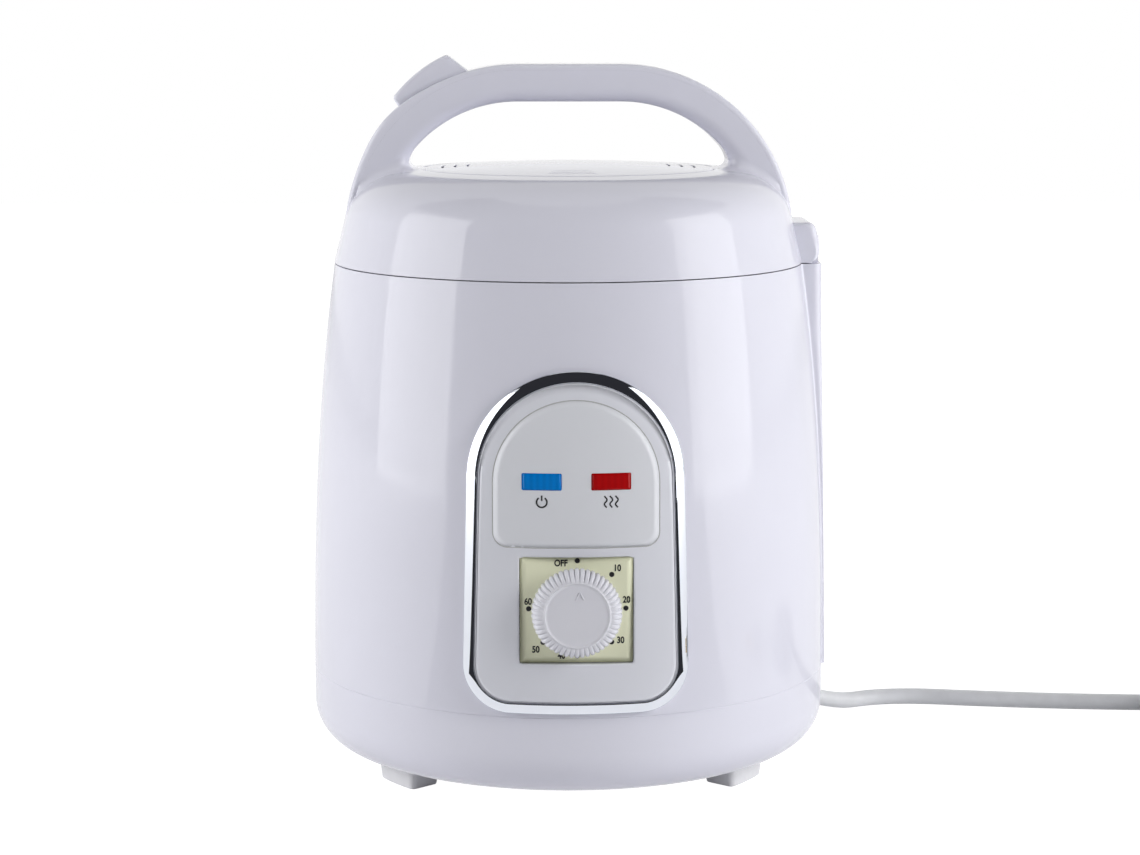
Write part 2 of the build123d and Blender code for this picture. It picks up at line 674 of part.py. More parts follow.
def make_panel():
    """The curved panel, its chrome frame, its label and the two lenses."""
    both = lens_box(-1, 0) + lens_box(1, 0)
    panel = barrel_layer(0, PANEL_PROUD) & trim_arch(TRIM_WIDTH)
    label_floor = PANEL_PROUD - LABEL_DEPTH
    panel -= barrel_layer(label_floor, PANEL_PROUD + 1) & label_arch(0)
    panel -= dial_window(0)
    panel -= both
    keep("front_panel", panel)
    keep("label_plate", (barrel_layer(label_floor, PANEL_PROUD) & label_arch(FIT)) - both)
    low = barrel_layer(0, TRIM_PROUD - TRIM_BEVEL) & trim_arch(0)
    high = barrel_layer(0, TRIM_PROUD) & trim_arch(TRIM_BEVEL)
    keep("panel_trim", low + high - trim_arch(TRIM_WIDTH - FIT))
    lens_layer = barrel_layer(PANEL_PROUD + LENS_PROUD - LENS_DEPTH, PANEL_PROUD + LENS_PROUD)
    keep("blue_lens", lens_layer & lens_box(-1, FIT))
    keep("red_lens", lens_layer & lens_box(1, FIT))


def front_distance(offset, x, z):
    """How far in front of the pot's axis the barrel lies at a place, at an offset from the shell's face."""
    return sqrt((shell_radius(z) + offset) ** 2 - x**2)


def make_lamps():
    """The two neon lamps behind the lenses and the holder that carries them."""
    rise = HOLDER_HEIGHT / 2
    lens_back = PANEL_PROUD + LENS_PROUD - LENS_DEPTH
    lamp_front = front_distance(lens_back, LENS_X + LAMP_RADIUS, LENS_Z + LENS_HEIGHT / 2) - FIT
    holder_front = front_distance(-WALL, HOLDER_HALF, LENS_Z + rise) - FIT
    for name, side in (("blue_lamp", -1), ("red_lamp", 1)):
        keep(name, cross_rod(LAMP_RADIUS, side * LENS_X, LENS_Z, -lamp_front, -holder_front))
    back = HOLDER_DEPTH - holder_front
    keep("lamp_holder", slab(-HOLDER_HALF, HOLDER_HALF, -holder_front, back, LENS_Z - rise, LENS_Z + rise))
    return holder_front


def make_timer():
    """The clockwork timer behind the dial: plate, case, bracket and screws."""
    dial_back = DIAL_FACE - DIAL_THICK
    shaft_hole = cross_rod(SHAFT_RADIUS + RUNNING, 0, DIAL_Z, -FAR, -CASE_BACK - WALL)
    plate = dial_window(FIT) & slab(-FAR, FAR, -DIAL_FACE, -dial_back, 0, FAR)
    keep("dial_plate", plate - shaft_hole)
    case = slab(
        -CASE_HALF_WIDTH, CASE_HALF_WIDTH, -dial_back, -CASE_BACK,
        DIAL_Z - CASE_HALF_HEIGHT, DIAL_Z + CASE_HALF_HEIGHT,
    )
    keep("timer_case", case - shaft_hole)
    bracket = slab(
        -BRACKET_HALF_WIDTH,
        BRACKET_HALF_WIDTH,
        -BRACKET_FACE,
        BRACKET_THICK - BRACKET_FACE,
        DIAL_Z - BRACKET_HALF_HEIGHT,
        DIAL_Z + BRACKET_HALF_HEIGHT,
    )
    screws = []
    for side in (-1, 1):
        x = side * BRACKET_SCREW_X
        back = BRACKET_THICK - BRACKET_FACE
        shank = bracket_screw(side)
        bracket -= shank
        screws.append(shank + cross_rod(SMALL_HEAD, x, DIAL_Z, back, back + SMALL_HEAD_HEIGHT))
    keep("timer_bracket", bracket - case)
    keep("timer_screws", Compound(children=screws))


def knob_outline():
    """The knob's turned shape about its own axis: back, widest ring, rounded flank and flat face."""
    flank = (KNOB_RADIUS + KNOB_FACE_RADIUS) / 2 + FLUTE_DEPTH
    middle = (KNOB_RIM + KNOB_DEPTH) / 2 + FLUTE_DEPTH
    edges = [
        Line((0, 0), (KNOB_BACK_RADIUS, 0)),
        Line((KNOB_BACK_RADIUS, 0), (KNOB_RADIUS, KNOB_RIM)),
        ThreePointArc((KNOB_RADIUS, KNOB_RIM), (flank, middle), (KNOB_FACE_RADIUS, KNOB_DEPTH)),
        Line((KNOB_FACE_RADIUS, KNOB_DEPTH), (0, KNOB_DEPTH)),
        Line((0, KNOB_DEPTH), (0, 0)),
    ]
    return turned(*edges)


def flute_star():
    """A prism with one tooth for each flute."""
    points = []
    for i in range(2 * KNOB_FLUTES):
        radius = KNOB_RADIUS + 1 if i % 2 else KNOB_RADIUS - FLUTE_DEPTH
        points.append(polar(radius, 180 / KNOB_FLUTES * i))
    return extrude(make_face(Polyline(*points, close=True).edges()), KNOB_DEPTH)


def make_knob():
    """The fluted knob and the shaft that it turns."""
    back = DIAL_FACE + KNOB_SEAT
    place = Pos(0, -back, DIAL_Z) * Rot(90, 0, 0)
    bore = rod(SHAFT_RADIUS, -1, KNOB_DEPTH - KNOB_CAP)
    bore -= slab(-FAR, FAR, SHAFT_FLAT, FAR, -2, KNOB_DEPTH)
    keep("timer_knob", place * ((knob_outline() & flute_star()) - bore))
    shaft_end = back - CASE_BACK - 2 * WALL
    shaft = rod(SHAFT_RADIUS, -shaft_end, KNOB_DEPTH - KNOB_CAP)
    shaft -= slab(-FAR, FAR, SHAFT_FLAT, FAR, 0, KNOB_DEPTH)
    keep("timer_shaft", place * shaft)


# ---------------------------------------------------------------- pot, collar and heater
def make_collar():
    """The inner ring that carries the pot's flange, and the bar that the latch hooks under."""
    collar = pipe(COLLAR_RADIUS, COLLAR_BORE, COLLAR_UNDER, COLLAR_TOP)
    collar += pipe(COLLAR_BORE + WALL, COLLAR_BORE, COLLAR_UNDER - COLLAR_SKIRT, COLLAR_UNDER)
    collar += pipe(COLLAR_RADIUS, COLLAR_RADIUS - WALL, COLLAR_UNDER - COLLAR_FLANGE, COLLAR_UNDER)
    bar_inner = LATCH_BAR_X + LATCH_BAR / 2 + MOVING + CATCH_WIDTH
    pocket = slab(-FAR, bar_inner, -POCKET_HALF, POCKET_HALF, 0, FAR)
    keep("rim_collar", collar - pocket)
    bar_outer = bar_inner - CATCH_WIDTH
    keep("catch_bar", slab(bar_outer, bar_inner, -POCKET_HALF, POCKET_HALF, COLLAR_UNDER, COLLAR_TOP))


def pot_cup(radius, corner, bottom, top):
    """A cup with a rounded lower edge, as a full solid."""
    return turned(
        Line((0, bottom), (radius - corner, bottom)),
        CenterArc((radius - corner, bottom + corner), corner, 270, 90),
        Line((radius, bottom + corner), (radius, top)),
        Line((radius, top), (0, top)),
        Line((0, top), (0, bottom)),
    )


def make_pot():
    """The lift-out water pot with its flange."""
    top = COLLAR_TOP + FLANGE_THICK
    pot = pot_cup(POT_RADIUS, POT_CORNER, POT_BOTTOM, top) + rod(POT_FLANGE, COLLAR_TOP, top)
    pot -= pot_cup(POT_RADIUS - POT_WALL, POT_CORNER - POT_WALL, POT_BOTTOM + POT_WALL, top + 1)
    keep("inner_pot", pot)


def make_heater():
    """The heat shield, the heating plate on its pillars, and the parts under the plate."""
    shield = pipe(SHIELD_RADIUS, SHIELD_RADIUS - SHEET, SHIELD_BOTTOM, COLLAR_UNDER)
    shield += pipe(SHIELD_RADIUS, SHIELD_HOLE, SHIELD_BOTTOM, SHIELD_BOTTOM + SHEET)
    keep("heat_shield", shield)
    element = Pos(0, 0, PLATE_UNDER) * Torus(ELEMENT_RING_RADIUS, ELEMENT_RADIUS)
    keep("heating_plate", rod(PLATE_RADIUS, PLATE_UNDER, POT_BOTTOM) + element)
    spots = [polar(PILLAR_RING_RADIUS, 120 * i + 60) for i in range(3)]
    pillars = [rod(PILLAR_RADIUS, SHIELD_BOTTOM + SHEET, PLATE_UNDER, x, y) for x, y in spots]
    keep("plate_pillars", Compound(children=pillars))
    pins = [
        rod(TERMINAL_RADIUS, PLATE_UNDER - TERMINAL_LENGTH, PLATE_UNDER, side * TERMINAL_X, TERMINAL_Y)
        for side in (-1, 1)
    ]
    keep("element_terminals", Compound(children=pins))
    keep("thermostat", rod(THERMOSTAT_RADIUS, PLATE_UNDER - THERMOSTAT_HEIGHT, PLATE_UNDER))
    half = FUSE_LENGTH / 2
    fuse = Rot(0, 0, 90) * cross_rod(FUSE_RADIUS, FUSE_Y, PLATE_UNDER - FUSE_RADIUS, -half, half)
    keep("thermal_fuse", fuse)


def wire(points):
    """An insulated wire with rounded bends."""
    path = FilletPolyline(*points, radius=WIRE_BEND)
    start = Plane(origin=path @ 0, z_dir=path % 0)
    return sweep(start * Circle(WIRE_RADIUS), path=path)


def make_supply_wires(middle, face):
    """The cord's two cores, from the strain relief to the terminal block."""
    end = exit_plane(-BOOT_INSIDE)
    wires = []
    for side in (-1, 1):
        shift = side * WIRE_SPACING / 2
        lane = BLOCK_Y + side * WIRE_SPACING
        wires.append(wire([
            end.from_local_coords((shift, 0, 0)),
            end.from_local_coords((shift, 0, -WIRE_END)),
            (face + WIRE_END, lane, middle),
            (face, lane, middle),
        ]))
    keep("supply_wires", Compound(children=wires))


def make_heater_wires(top):
    """The wires from the terminal block up to the heating element's pins."""
    low = PLATE_UNDER - TERMINAL_LENGTH
    wires = []
    for side, drop in ((-1, 9.0), (1, 14.0)):
        x, y = BLOCK_X + side * WIRE_SPACING, BLOCK_Y + side * WIRE_SPACING
        pin = side * TERMINAL_X
        level = low - drop
        wires.append(wire([(x, y, top), (x, y, level), (pin, TERMINAL_Y, level), (pin, TERMINAL_Y, low)]))
    keep("heater_wires", Compound(children=wires))


def make_lamp_wires(middle, face, holder_front):
    """The wires that climb between the heat shield and the shell to the lamps."""
    holder_foot = LENS_Z - HOLDER_HEIGHT / 2
    gap = (SHIELD_RADIUS + BODY_RADIUS - WALL) / 2 - WIRE_SPACING / 2
    wires = []
    for side in (0, 1):
        shift = side * WIRE_SPACING
        lane = gap + shift
        end = (WIRE_SPACING - HOLDER_HALF + shift, HOLDER_DEPTH / 2 - holder_front)
        wires.append(wire([
            (face, BLOCK_Y - shift, middle),
            (face - WIRE_END, BLOCK_Y - shift, middle),
            (*polar(SHIELD_RADIUS - 2 * shift, 184), middle + 14),
            (*polar(lane, 202), SHIELD_BOTTOM + 12),
            (*polar(lane, 220), (SHIELD_BOTTOM + holder_foot) / 2 + 4),
            (*polar(lane, 240), holder_foot - 12),
            (*end, holder_foot - WIRE_END),
            (*end, holder_foot),
        ]))
    keep("lamp_wires", Compound(children=wires))


def make_wiring(holder_front):
    """The terminal block and the wires to the cord, the heating plate and the lamps."""
    width, depth, height = BLOCK_SIZE
    left, right = BLOCK_X - width / 2, BLOCK_X + width / 2
    front, back = BLOCK_Y - depth / 2, BLOCK_Y + depth / 2
    keep("terminal_block", slab(left, right, front, back, TRAY_FLOOR, TRAY_FLOOR + height))
    middle = TRAY_FLOOR + height / 2
    make_supply_wires(middle, right)
    make_heater_wires(TRAY_FLOOR + height)
    make_lamp_wires(middle, left, holder_front)


# ---------------------------------------------------------------- hinge
def coil_spring(radius, wire_radius, length, turns):
    """A coil spring along Z from z = 0, as one swept wire."""
    path = Helix(pitch=(length - 2 * wire_radius) / turns, height=length - 2 * wire_radius, radius=radius)
    start = Plane(origin=path @ 0, z_dir=path % 0)
    return Pos(0, 0, wire_radius) * sweep(start * Circle(wire_radius), path=path)


def make_hinge():
    """The hinge pin and the spring that lifts the lid."""
    length = COLUMN_HALF - FIT
    keep("hinge_pin", cross_rod(PIN_RADIUS, HINGE_X, HINGE_Z, -length, length))
    half = SPRING_POCKET_HALF - MOVING
    spring = coil_spring(PIN_RADIUS + 1.0, 0.5, 2 * half, 7)
    keep("hinge_spring", Pos(HINGE_X, -half, HINGE_Z) * Rot(-90, 0, 0) * spring)


# ---------------------------------------------------------------- lid
def lid_solid(inset):
    """The lid as a full solid, smaller by an inset: leaning side, round shoulder and low dome."""
    foot, high = LID_FOOT - inset, CROWN_TOP + SHOULDER_RADIUS
    lean = tan(radians(LID_LEAN))
    side = [(LID_RIM_RADIUS - inset - lean * (z - LID_FOOT), z) for z in (foot, high)]
    outline = make_face(Polyline((0, foot), *side, (0, high), close=True).edges())
    outline &= Pos(0, CROWN_TOP - DOME_RADIUS) * Circle(DOME_RADIUS - inset)
    corner = outline.vertices().sort_by(lambda v: v.X + v.Y)[-1]
    return revolve(Plane.XZ * fillet(corner, SHOULDER_RADIUS - inset), Axis.Z)


def arch_solid(radius, half_depth, z0):
    """The handle's arch as a filled solid of one radius, above a height."""
    ends = [Pos(side * HANDLE_ARC_X, HANDLE_AXIS) * Circle(radius) for side in (-1, 1)]
    middle = Pos(0, HANDLE_AXIS) * Rectangle(2 * HANDLE_ARC_X, 2 * radius)
    sketch = ends[0] + ends[1] + middle
    window = Pos(0, z0 + FAR / 2) * Rectangle(FAR, FAR)
    return upright(sketch & window, half_depth, both=True)


def hinge_block():
    """The block on the lid's side that turns on the hinge pin, with a round heel that clears the column."""
    top = LID_FOOT + BLOCK_HEIGHT
    heel = HINGE_Z - LID_FOOT
    outline = Polyline(
        (BLOCK_INNER, LID_FOOT), (HINGE_X, LID_FOOT), (HINGE_X, HINGE_Z), (BLOCK_REACH, HINGE_Z),
        (BLOCK_TOP_REACH, top), (BLOCK_INNER, top), close=True,
    )
    block = upright(make_face(outline.edges()), COLUMN_HALF, both=True)
    heel_rod = cross_rod(heel, HINGE_X, HINGE_Z, -COLUMN_HALF, COLUMN_HALF)
    heel_rod &= slab(HINGE_X, BLOCK_REACH, -FAR, FAR, LID_FOOT, HINGE_Z)
    top_edge = block.edges().filter_by(Axis.Y).sort_by(lambda e: e.center().X + e.center().Z)[-1]
    return fillet(top_edge, BLOCK_TOP_EDGE) + heel_rod


def hinge_slot():
    """The slot in the hinge block round the shell's knuckle."""
    reach = KNUCKLE_RADIUS + 2 * MOVING
    half = KNUCKLE_HALF + CHEEK_CLEAR
    return slab(HINGE_X - reach, FAR, -half, half, 0, HINGE_Z + reach)


def handle_channel():
    """The hollow of the handle: closed outwards inside the lid's wall, open under the cover above it."""
    floor = arch_solid(ARCH_INNER + HANDLE_WALL, HANDLE_HALF, LID_FOOT)
    low = arch_solid(CHANNEL_OUTER, CHANNEL_HALF, LID_FOOT + ARM_ROOT) - floor
    high = arch_solid(HANDLE_ARC - COVER_THICK, CHANNEL_HALF, LID_FOOT + CHANNEL_OPEN_RISE) - floor
    return low + high


def liner_spots():
    """Where the liner's four screws go."""
    return [polar(LINER_SCREW_RING_RADIUS, 90 * i + 45) for i in range(4)]


def latch_cheeks():
    """The two lugs under the lid's shoulder that hold the latch's pin."""
    cheeks = []
    for side in (-1, 1):
        inner, outer = sorted((side * (CHANNEL_HALF - CHEEK_THICK), side * HANDLE_HALF))
        lug = slab(
            LATCH_X - CHEEK_REACH, LATCH_X + CHEEK_REACH, inner, outer,
            LATCH_Z - CHEEK_REACH, LATCH_Z + CHEEK_TOP,
        )
        cheeks.append(lug & lid_solid(WALL / 2))
    return cheeks


def crown_height(radius):
    """Height of the lid's dome at a radius."""
    return CROWN_TOP - DOME_RADIUS + sqrt(DOME_RADIUS**2 - radius**2)


def vent_seat():
    """The seat of the vent plate in the lid's crown: a shallow recess and a hole inside its ledge."""
    edge = crown_height(VENT_RADIUS) - VENT_THICK
    recess = rod(VENT_RADIUS + FIT, edge, CROWN_TOP + 1)
    return recess + rod(VENT_RADIUS - VENT_LEDGE, LINER_TOP, CROWN_TOP + 1)


def make_lid_shell():
    """The lid's outer moulding: cap, handle channel, hinge block, screw posts and latch lugs."""
    arch = arch_solid(HANDLE_ARC - COVER_THICK, HANDLE_HALF, LID_FOOT + ARM_ROOT)
    arch -= arch_solid(ARCH_INNER, HANDLE_HALF + 1, LID_FOOT)
    lid = lid_solid(0) + arch + hinge_block() - lid_solid(WALL) - handle_channel()
    lid += latch_cheeks()
    for x, y in liner_spots():
        lid += rod(LINER_POST, LINER_TOP, crown_height(LINER_SCREW_RING_RADIUS) - WALL / 2, x, y)
        lid -= rod(LINER_SCREW, 0, LINER_TOP + LINER_SCREW_LENGTH, x, y)
    lid -= cross_rod(LATCH_PIN, LATCH_X, LATCH_Z, -CHANNEL_HALF - 1, CHANNEL_HALF + 1)
    lid -= lever_relief()
    lid -= vent_seat()
    lid -= hinge_slot()
    lid -= cross_rod(PIN_RADIUS + RUNNING, HINGE_X, HINGE_Z, FIT - COLUMN_HALF, COLUMN_HALF - FIT)
    keep("lid_shell", lid)


def vent_slots():
    """Four groups of three short arcs."""
    slots = []
    for i in range(VENT_GROUPS):
        sector = Rot(0, 0, 360 / VENT_GROUPS * i) * slab(
            0, FAR, -VENT_SLOT_LENGTH / 2, VENT_SLOT_LENGTH / 2, 0, FAR
        )
        for row in range(SLOT_ROWS):
            radius = VENT_RADIUS - SLOT_MARGIN - SLOT_PITCH * row
            ring = pipe(radius + VENT_SLOT / 2, radius - VENT_SLOT / 2, LINER_TOP, CROWN_TOP + 1)
            slots.append(ring & sector)
    return slots


def make_vent_plate():
    """The round insert in the lid's crown that lets the steam out."""
    under = crown_height(VENT_RADIUS) - VENT_THICK
    skirt = VENT_RADIUS - VENT_LEDGE - FIT
    plate = rod(VENT_RADIUS, under, CROWN_TOP + 1) + rod(skirt, under - VENT_SKIRT, CROWN_TOP)
    plate &= lid_solid(0)
    plate -= rod(skirt - WALL / 2, LINER_TOP, under)
    keep("vent_plate", plate - vent_slots())


def lever_notch(z0, z1):
    """The way through the liner for the latch lever."""
    reach = (LATCH_Z - LINER_UNDER) * tan(radians(LATCH_TURN)) + MOVING
    outer = LATCH_BAR_X - LATCH_BAR / 2 - reach
    inner = LATCH_BAR_X + LATCH_BAR / 2 + MOVING
    return slab(outer - 2, inner, -LATCH_HALF - MOVING, LATCH_HALF + MOVING, z0, z1)


def make_liner():
    """The lid's inside: liner, steam plate, gasket, screws and the baffle over the steam hole."""
    liner = pipe(LINER_RADIUS, STEAM_HOLE, LINER_UNDER, LINER_TOP) - lever_notch(0, FAR)
    plate_under = LINER_UNDER - INNER_PLATE_THICK
    plate = rod(INNER_PLATE_RADIUS, plate_under, LINER_UNDER)
    screws = []
    for x, y in liner_spots():
        shank = rod(LINER_SCREW, plate_under, LINER_TOP + LINER_SCREW_LENGTH - 1, x, y)
        liner -= shank
        plate -= shank
        screws.append(shank + rod(LINER_HEAD, plate_under - LINER_HEAD_HEIGHT, plate_under, x, y))
    for i in range(PLATE_HOLES):
        plate -= rod(PLATE_HOLE, 0, FAR, *polar(PLATE_HOLE_RING_RADIUS, 360 / PLATE_HOLES * i))
    keep("lid_liner", liner)
    keep("inner_lid_plate", plate)
    keep("liner_screws", Compound(children=screws))
    flange_top = COLLAR_TOP + FLANGE_THICK
    keep("lid_gasket", pipe(GASKET_OUTER, GASKET_INNER, flange_top + GASKET_GAP, LINER_UNDER))
    baffle_under = LINER_TOP + BAFFLE_RISE
    baffle = rod(BAFFLE_RADIUS, baffle_under, baffle_under + BAFFLE_THICK)
    for i in range(3):
        baffle += rod(BAFFLE_LEG, LINER_TOP, baffle_under, *polar(BAFFLE_LEG_RING_RADIUS, 120 * i + 30))
    keep("steam_baffle", baffle)


# ---------------------------------------------------------------- handle cover, button and latch
def button_frame():
    """The button's own plane: X along the handle, Y outwards, Z along the pin of the latch."""
    out = (cos(radians(BUTTON_ANGLE)), sin(radians(BUTTON_ANGLE)))
    distance = HANDLE_ARC - BUTTON_SINK
    x = cos(radians(BUTTON_PLACE)) * distance - HANDLE_ARC_X
    z = sin(radians(BUTTON_PLACE)) * distance + HANDLE_AXIS
    return Plane(origin=(x, 0, z), x_dir=(out[1], 0, -out[0]), z_dir=(0, -1, 0))


def button_block(low, grow):
    """The button's body down to a depth, larger all round by a clearance."""
    half = BUTTON_LENGTH / 2 + grow
    outline = make_face([
        Line((-half, -low), (half, -low)),
        Line((half, -low), (half - BUTTON_SLANT, BUTTON_HIGH)),
        ThreePointArc(
            (half - BUTTON_SLANT, BUTTON_HIGH),
            (-BUTTON_SLANT / 2, (BUTTON_HIGH + BUTTON_LOW) / 2 + BUTTON_CROWN),
            (-half, BUTTON_LOW),
        ),
        Line((-half, BUTTON_LOW), (-half, -low)),
    ])
    return extrude(button_frame() * outline, BUTTON_HALF + grow, both=True)


def button_shaft_space():
    """The straight way that the button needs through the handle's cover."""
    half = BUTTON_LENGTH / 2 + MOVING
    face = Rectangle(2 * half, 4 * BUTTON_HIGH)
    return extrude(button_frame() * face, BUTTON_HALF + MOVING, both=True)


def make_handle_cover():
    """The strip that closes the handle's channel, with the button's opening."""
    cover = arch_solid(HANDLE_ARC, HANDLE_HALF, LID_FOOT + ARM_ROOT)
    cover -= arch_solid(HANDLE_ARC - COVER_THICK, HANDLE_HALF + 1, LID_FOOT)
    cover -= lid_solid(0) + hinge_block()
    keep("handle_cover", cover - button_shaft_space())


def make_button():
    """The release button with the stem that pushes the latch lever, and its spring."""
    stem = Pos(STEM_AT, -STEM_DEPTH / 2) * Rectangle(STEM_WIDTH, STEM_DEPTH)
    frame = button_frame()
    under = BUTTON_SKIRT + BUTTON_LIP
    lip = Pos(0, BUTTON_LIP / 2 - under) * Rectangle(2 * BUTTON_LIP_HALF, BUTTON_LIP)
    button = button_block(under, 0) + extrude(frame * stem, STEM_HALF, both=True)
    keep("release_button", button + extrude(frame * lip, CHANNEL_HALF - MOVING, both=True))
    x = frame.origin.X + frame.x_dir.X * SPRING_AT + HANDLE_ARC_X
    z = frame.origin.Z + frame.x_dir.Z * SPRING_AT - HANDLE_AXIS
    floor = hypot(x, z) - (ARCH_INNER + HANDLE_WALL)
    length = floor - under - 4 * RUNNING
    spring = coil_spring(2.6, 0.4, length, 5)
    inward = Plane(
        origin=frame.origin + frame.x_dir * SPRING_AT - frame.y_dir * (under + RUNNING),
        z_dir=frame.y_dir * -1,
    )
    keep("button_spring", inward * spring)


def lever_bar(start, end):
    """One straight stretch of the latch lever in the XZ plane, with round ends."""
    length = hypot(end[0] - start[0], end[1] - start[1])
    angle = degrees(atan2(end[1] - start[1], end[0] - start[0]))
    middle = ((start[0] + end[0]) / 2, (start[1] + end[1]) / 2)
    face = Pos(*middle) * (Rot(0, 0, angle) * Rectangle(length, LATCH_BAR))
    knob = Pos(*end) * Circle(LATCH_BAR / 2)
    return face + knob


def lever_tip():
    """The point under the button's stem that the lever's upper end reaches."""
    frame = button_frame()
    point = frame.origin + frame.x_dir * STEM_AT - frame.y_dir * (STEM_DEPTH + MOVING + LATCH_TIP)
    return point.X, point.Z


def lever_relief():
    """The dent in the handle's floor that the lever's upper end swings into."""
    turn = radians(LATCH_TURN)
    x, z = lever_tip()[0] - LATCH_X, lever_tip()[1] - LATCH_Z
    pressed_x = LATCH_X + x * cos(turn) + z * sin(turn)
    pressed_z = LATCH_Z + z * cos(turn) - x * sin(turn)
    half = LATCH_HALF + MOVING
    return cross_rod(LATCH_TIP + 2 * MOVING, pressed_x, pressed_z, -half, half)


def make_latch():
    """The latch lever, its pin and its spring."""
    pivot = (LATCH_X, LATCH_Z)
    tip = lever_tip()
    spread = 2.2
    knee_up = ((pivot[0] + tip[0]) / 2 - spread, (pivot[1] + tip[1]) / 2 + spread / 2)
    knee_down = (LATCH_BAR_X, LATCH_KNEE_Z)
    nose_top = COLLAR_UNDER - MOVING
    foot = (LATCH_BAR_X, nose_top - NOSE_HEIGHT + LATCH_BAR / 2)
    sketch = lever_bar(pivot, knee_up) + lever_bar(knee_up, tip)
    sketch += lever_bar(pivot, knee_down) + lever_bar(knee_down, foot)
    sketch += Pos(*pivot) * Circle(LATCH_BOSS)
    sketch += Pos(*tip) * Circle(LATCH_TIP)
    nose = Pos(LATCH_BAR_X + NOSE_REACH / 2, nose_top - NOSE_HEIGHT / 2) * Rectangle(NOSE_REACH, NOSE_HEIGHT)
    sketch += nose
    lever = upright(sketch, LATCH_HALF, both=True)
    keep("latch_lever", lever - cross_rod(LATCH_PIN + RUNNING, *pivot, -FAR, FAR))
    keep("latch_pin", cross_rod(LATCH_PIN, *pivot, -CHANNEL_HALF - 1, CHANNEL_HALF + 1))
    length = CHANNEL_HALF - CHEEK_THICK - LATCH_HALF - 2 * MOVING
    spring = coil_spring(LATCH_PIN + 0.8, 0.35, length, 4)
    keep("latch_spring", Pos(LATCH_X, LATCH_HALF + MOVING, LATCH_Z) * Rot(-90, 0, 0) * spring)


# ---------------------------------------------------------------- cord
CORD_ROUTE = [
    (124.5, 66.9, CORD_Z),
    (141.5, 68.3, CORD_Z),
    (161.0, 64.2, CORD_Z),
    (188.0, 59.4, CORD_Z),
    (218.0, 55.8, CORD_Z),
    (249.0, 53.6, CORD_Z),
    (276.0, 53.2, CORD_Z),
]
TAIL_ROUTE = [
    (317.9, 14.0, 16.1),
    (317.4, -2.0, 12.3),
    (315.9, -19.0, 5.4),
    (313.6, -35.0, 4.0),
    (311.6, -49.0, 6.4),
]


def cord_tube(name, points):
    """A round cord along straight runs joined by tangent arcs as large as the runs allow."""
    vectors = [Vector(*p) for p in points]
    runs = [b - a for a, b in zip(vectors, vectors[1:])]
    radii = []
    for before, after in zip(runs, runs[1:]):
        half_turn = radians(before.get_angle(after)) / 2
        radii.append(0.45 * min(before.length, after.length) / tan(half_turn))
    path = FilletPolyline(*points, radius=radii)
    start = Plane(origin=path @ 0, z_dir=path % 0)
    tube = sweep(start * Circle(CORD_DIAMETER / 2), path=path)
    section = pi * (CORD_DIAMETER / 2) ** 2
    print(name, "radii", [round(r) for r in radii], "length", round(path.length, 1))
    print(name, "volume over section times length", round(tube.volume / section / path.length, 4))
    return tube


def make_cord():
    """The strain relief, the cord's visible stretch, its coil and tie, and the plug."""
    inside = along_exit(BOOT_FLANGE, BOOT_SEAT - BOOT_FLANGE_THICK, BOOT_SEAT)
    inside += along_exit(BOOT_NECK, BOOT_SEAT - BOOT_FLANGE_THICK, WALL)
    sleeve = along_exit(BOOT_START_RADIUS, -WALL, BOOT_LENGTH, BOOT_END_RADIUS) - tray_cup(-FIT)
    keep("strain_relief", inside + sleeve)
    start = exit_plane(BOOT_LENGTH).origin
    ring = pipe(
        COIL_MID + COIL_HALF_WIDTH, COIL_MID - COIL_HALF_WIDTH,
        TIE_THICK, TIE_THICK + COIL_HEIGHT, COIL_X, COIL_Y,
    )
    tie_outer = slab(
        COIL_X - COIL_MID - COIL_HALF_WIDTH - 2 * TIE_THICK,
        COIL_X - COIL_MID + COIL_HALF_WIDTH + TIE_THICK,
        COIL_Y - TIE_HALF,
        COIL_Y + TIE_HALF,
        0,
        COIL_HEIGHT + 2 * TIE_THICK,
    )
    keep("coil_tie", tie_outer - ring)
    keep("cord_coil", ring)
    first = exit_plane(BOOT_LENGTH + CORD_FIRST_RUN).origin
    main = cord_tube("mains_cord", [(p.X, p.Y, p.Z) for p in (start, first)] + CORD_ROUTE)
    keep("mains_cord", main - ring)
    tail = cord_tube("cord_tail", TAIL_ROUTE)
    keep("cord_tail", tail - ring)
    make_plug(Vector(*TAIL_ROUTE[-1]), Vector(*TAIL_ROUTE[-1]) - Vector(*TAIL_ROUTE[-2]))


def make_plug(rear, heading):
    """A two-pin plug lying on the floor where the cord's tail ends."""
    axis = Vector(heading.X, heading.Y, 0).normalized()
    face = Plane(origin=rear, z_dir=heading.normalized())
    neck = face * Cone(
        CORD_DIAMETER / 2 + 0.6, PLUG_NECK_RADIUS, PLUG_NECK + 2, align=(Align.CENTER, Align.CENTER, Align.MIN)
    )
    start = Vector(rear.X, rear.Y, PLUG_THICK / 2) + axis * PLUG_NECK
    frame = Plane(origin=start, x_dir=(-axis.Y, axis.X, 0), z_dir=axis)
    outline = RectangleRounded(PLUG_WIDTH, PLUG_THICK, PLUG_EDGE)
    body = extrude(frame * outline, PLUG_LENGTH - PLUG_NECK)
    keep("plug_body", body + neck)
    nose = Plane(origin=start + axis * (PLUG_LENGTH - PLUG_NECK), x_dir=frame.x_dir, z_dir=axis)
    pins = [
        nose * Pos(side * PLUG_PIN_HALF_SPACING, 0, 0)
        * Cylinder(PLUG_PIN_RADIUS, PLUG_PIN_LENGTH, align=(Align.CENTER, Align.CENTER, Align.MIN))
        for side in (-1, 1)
    ]
    keep("plug_pins", Compound(children=pins))


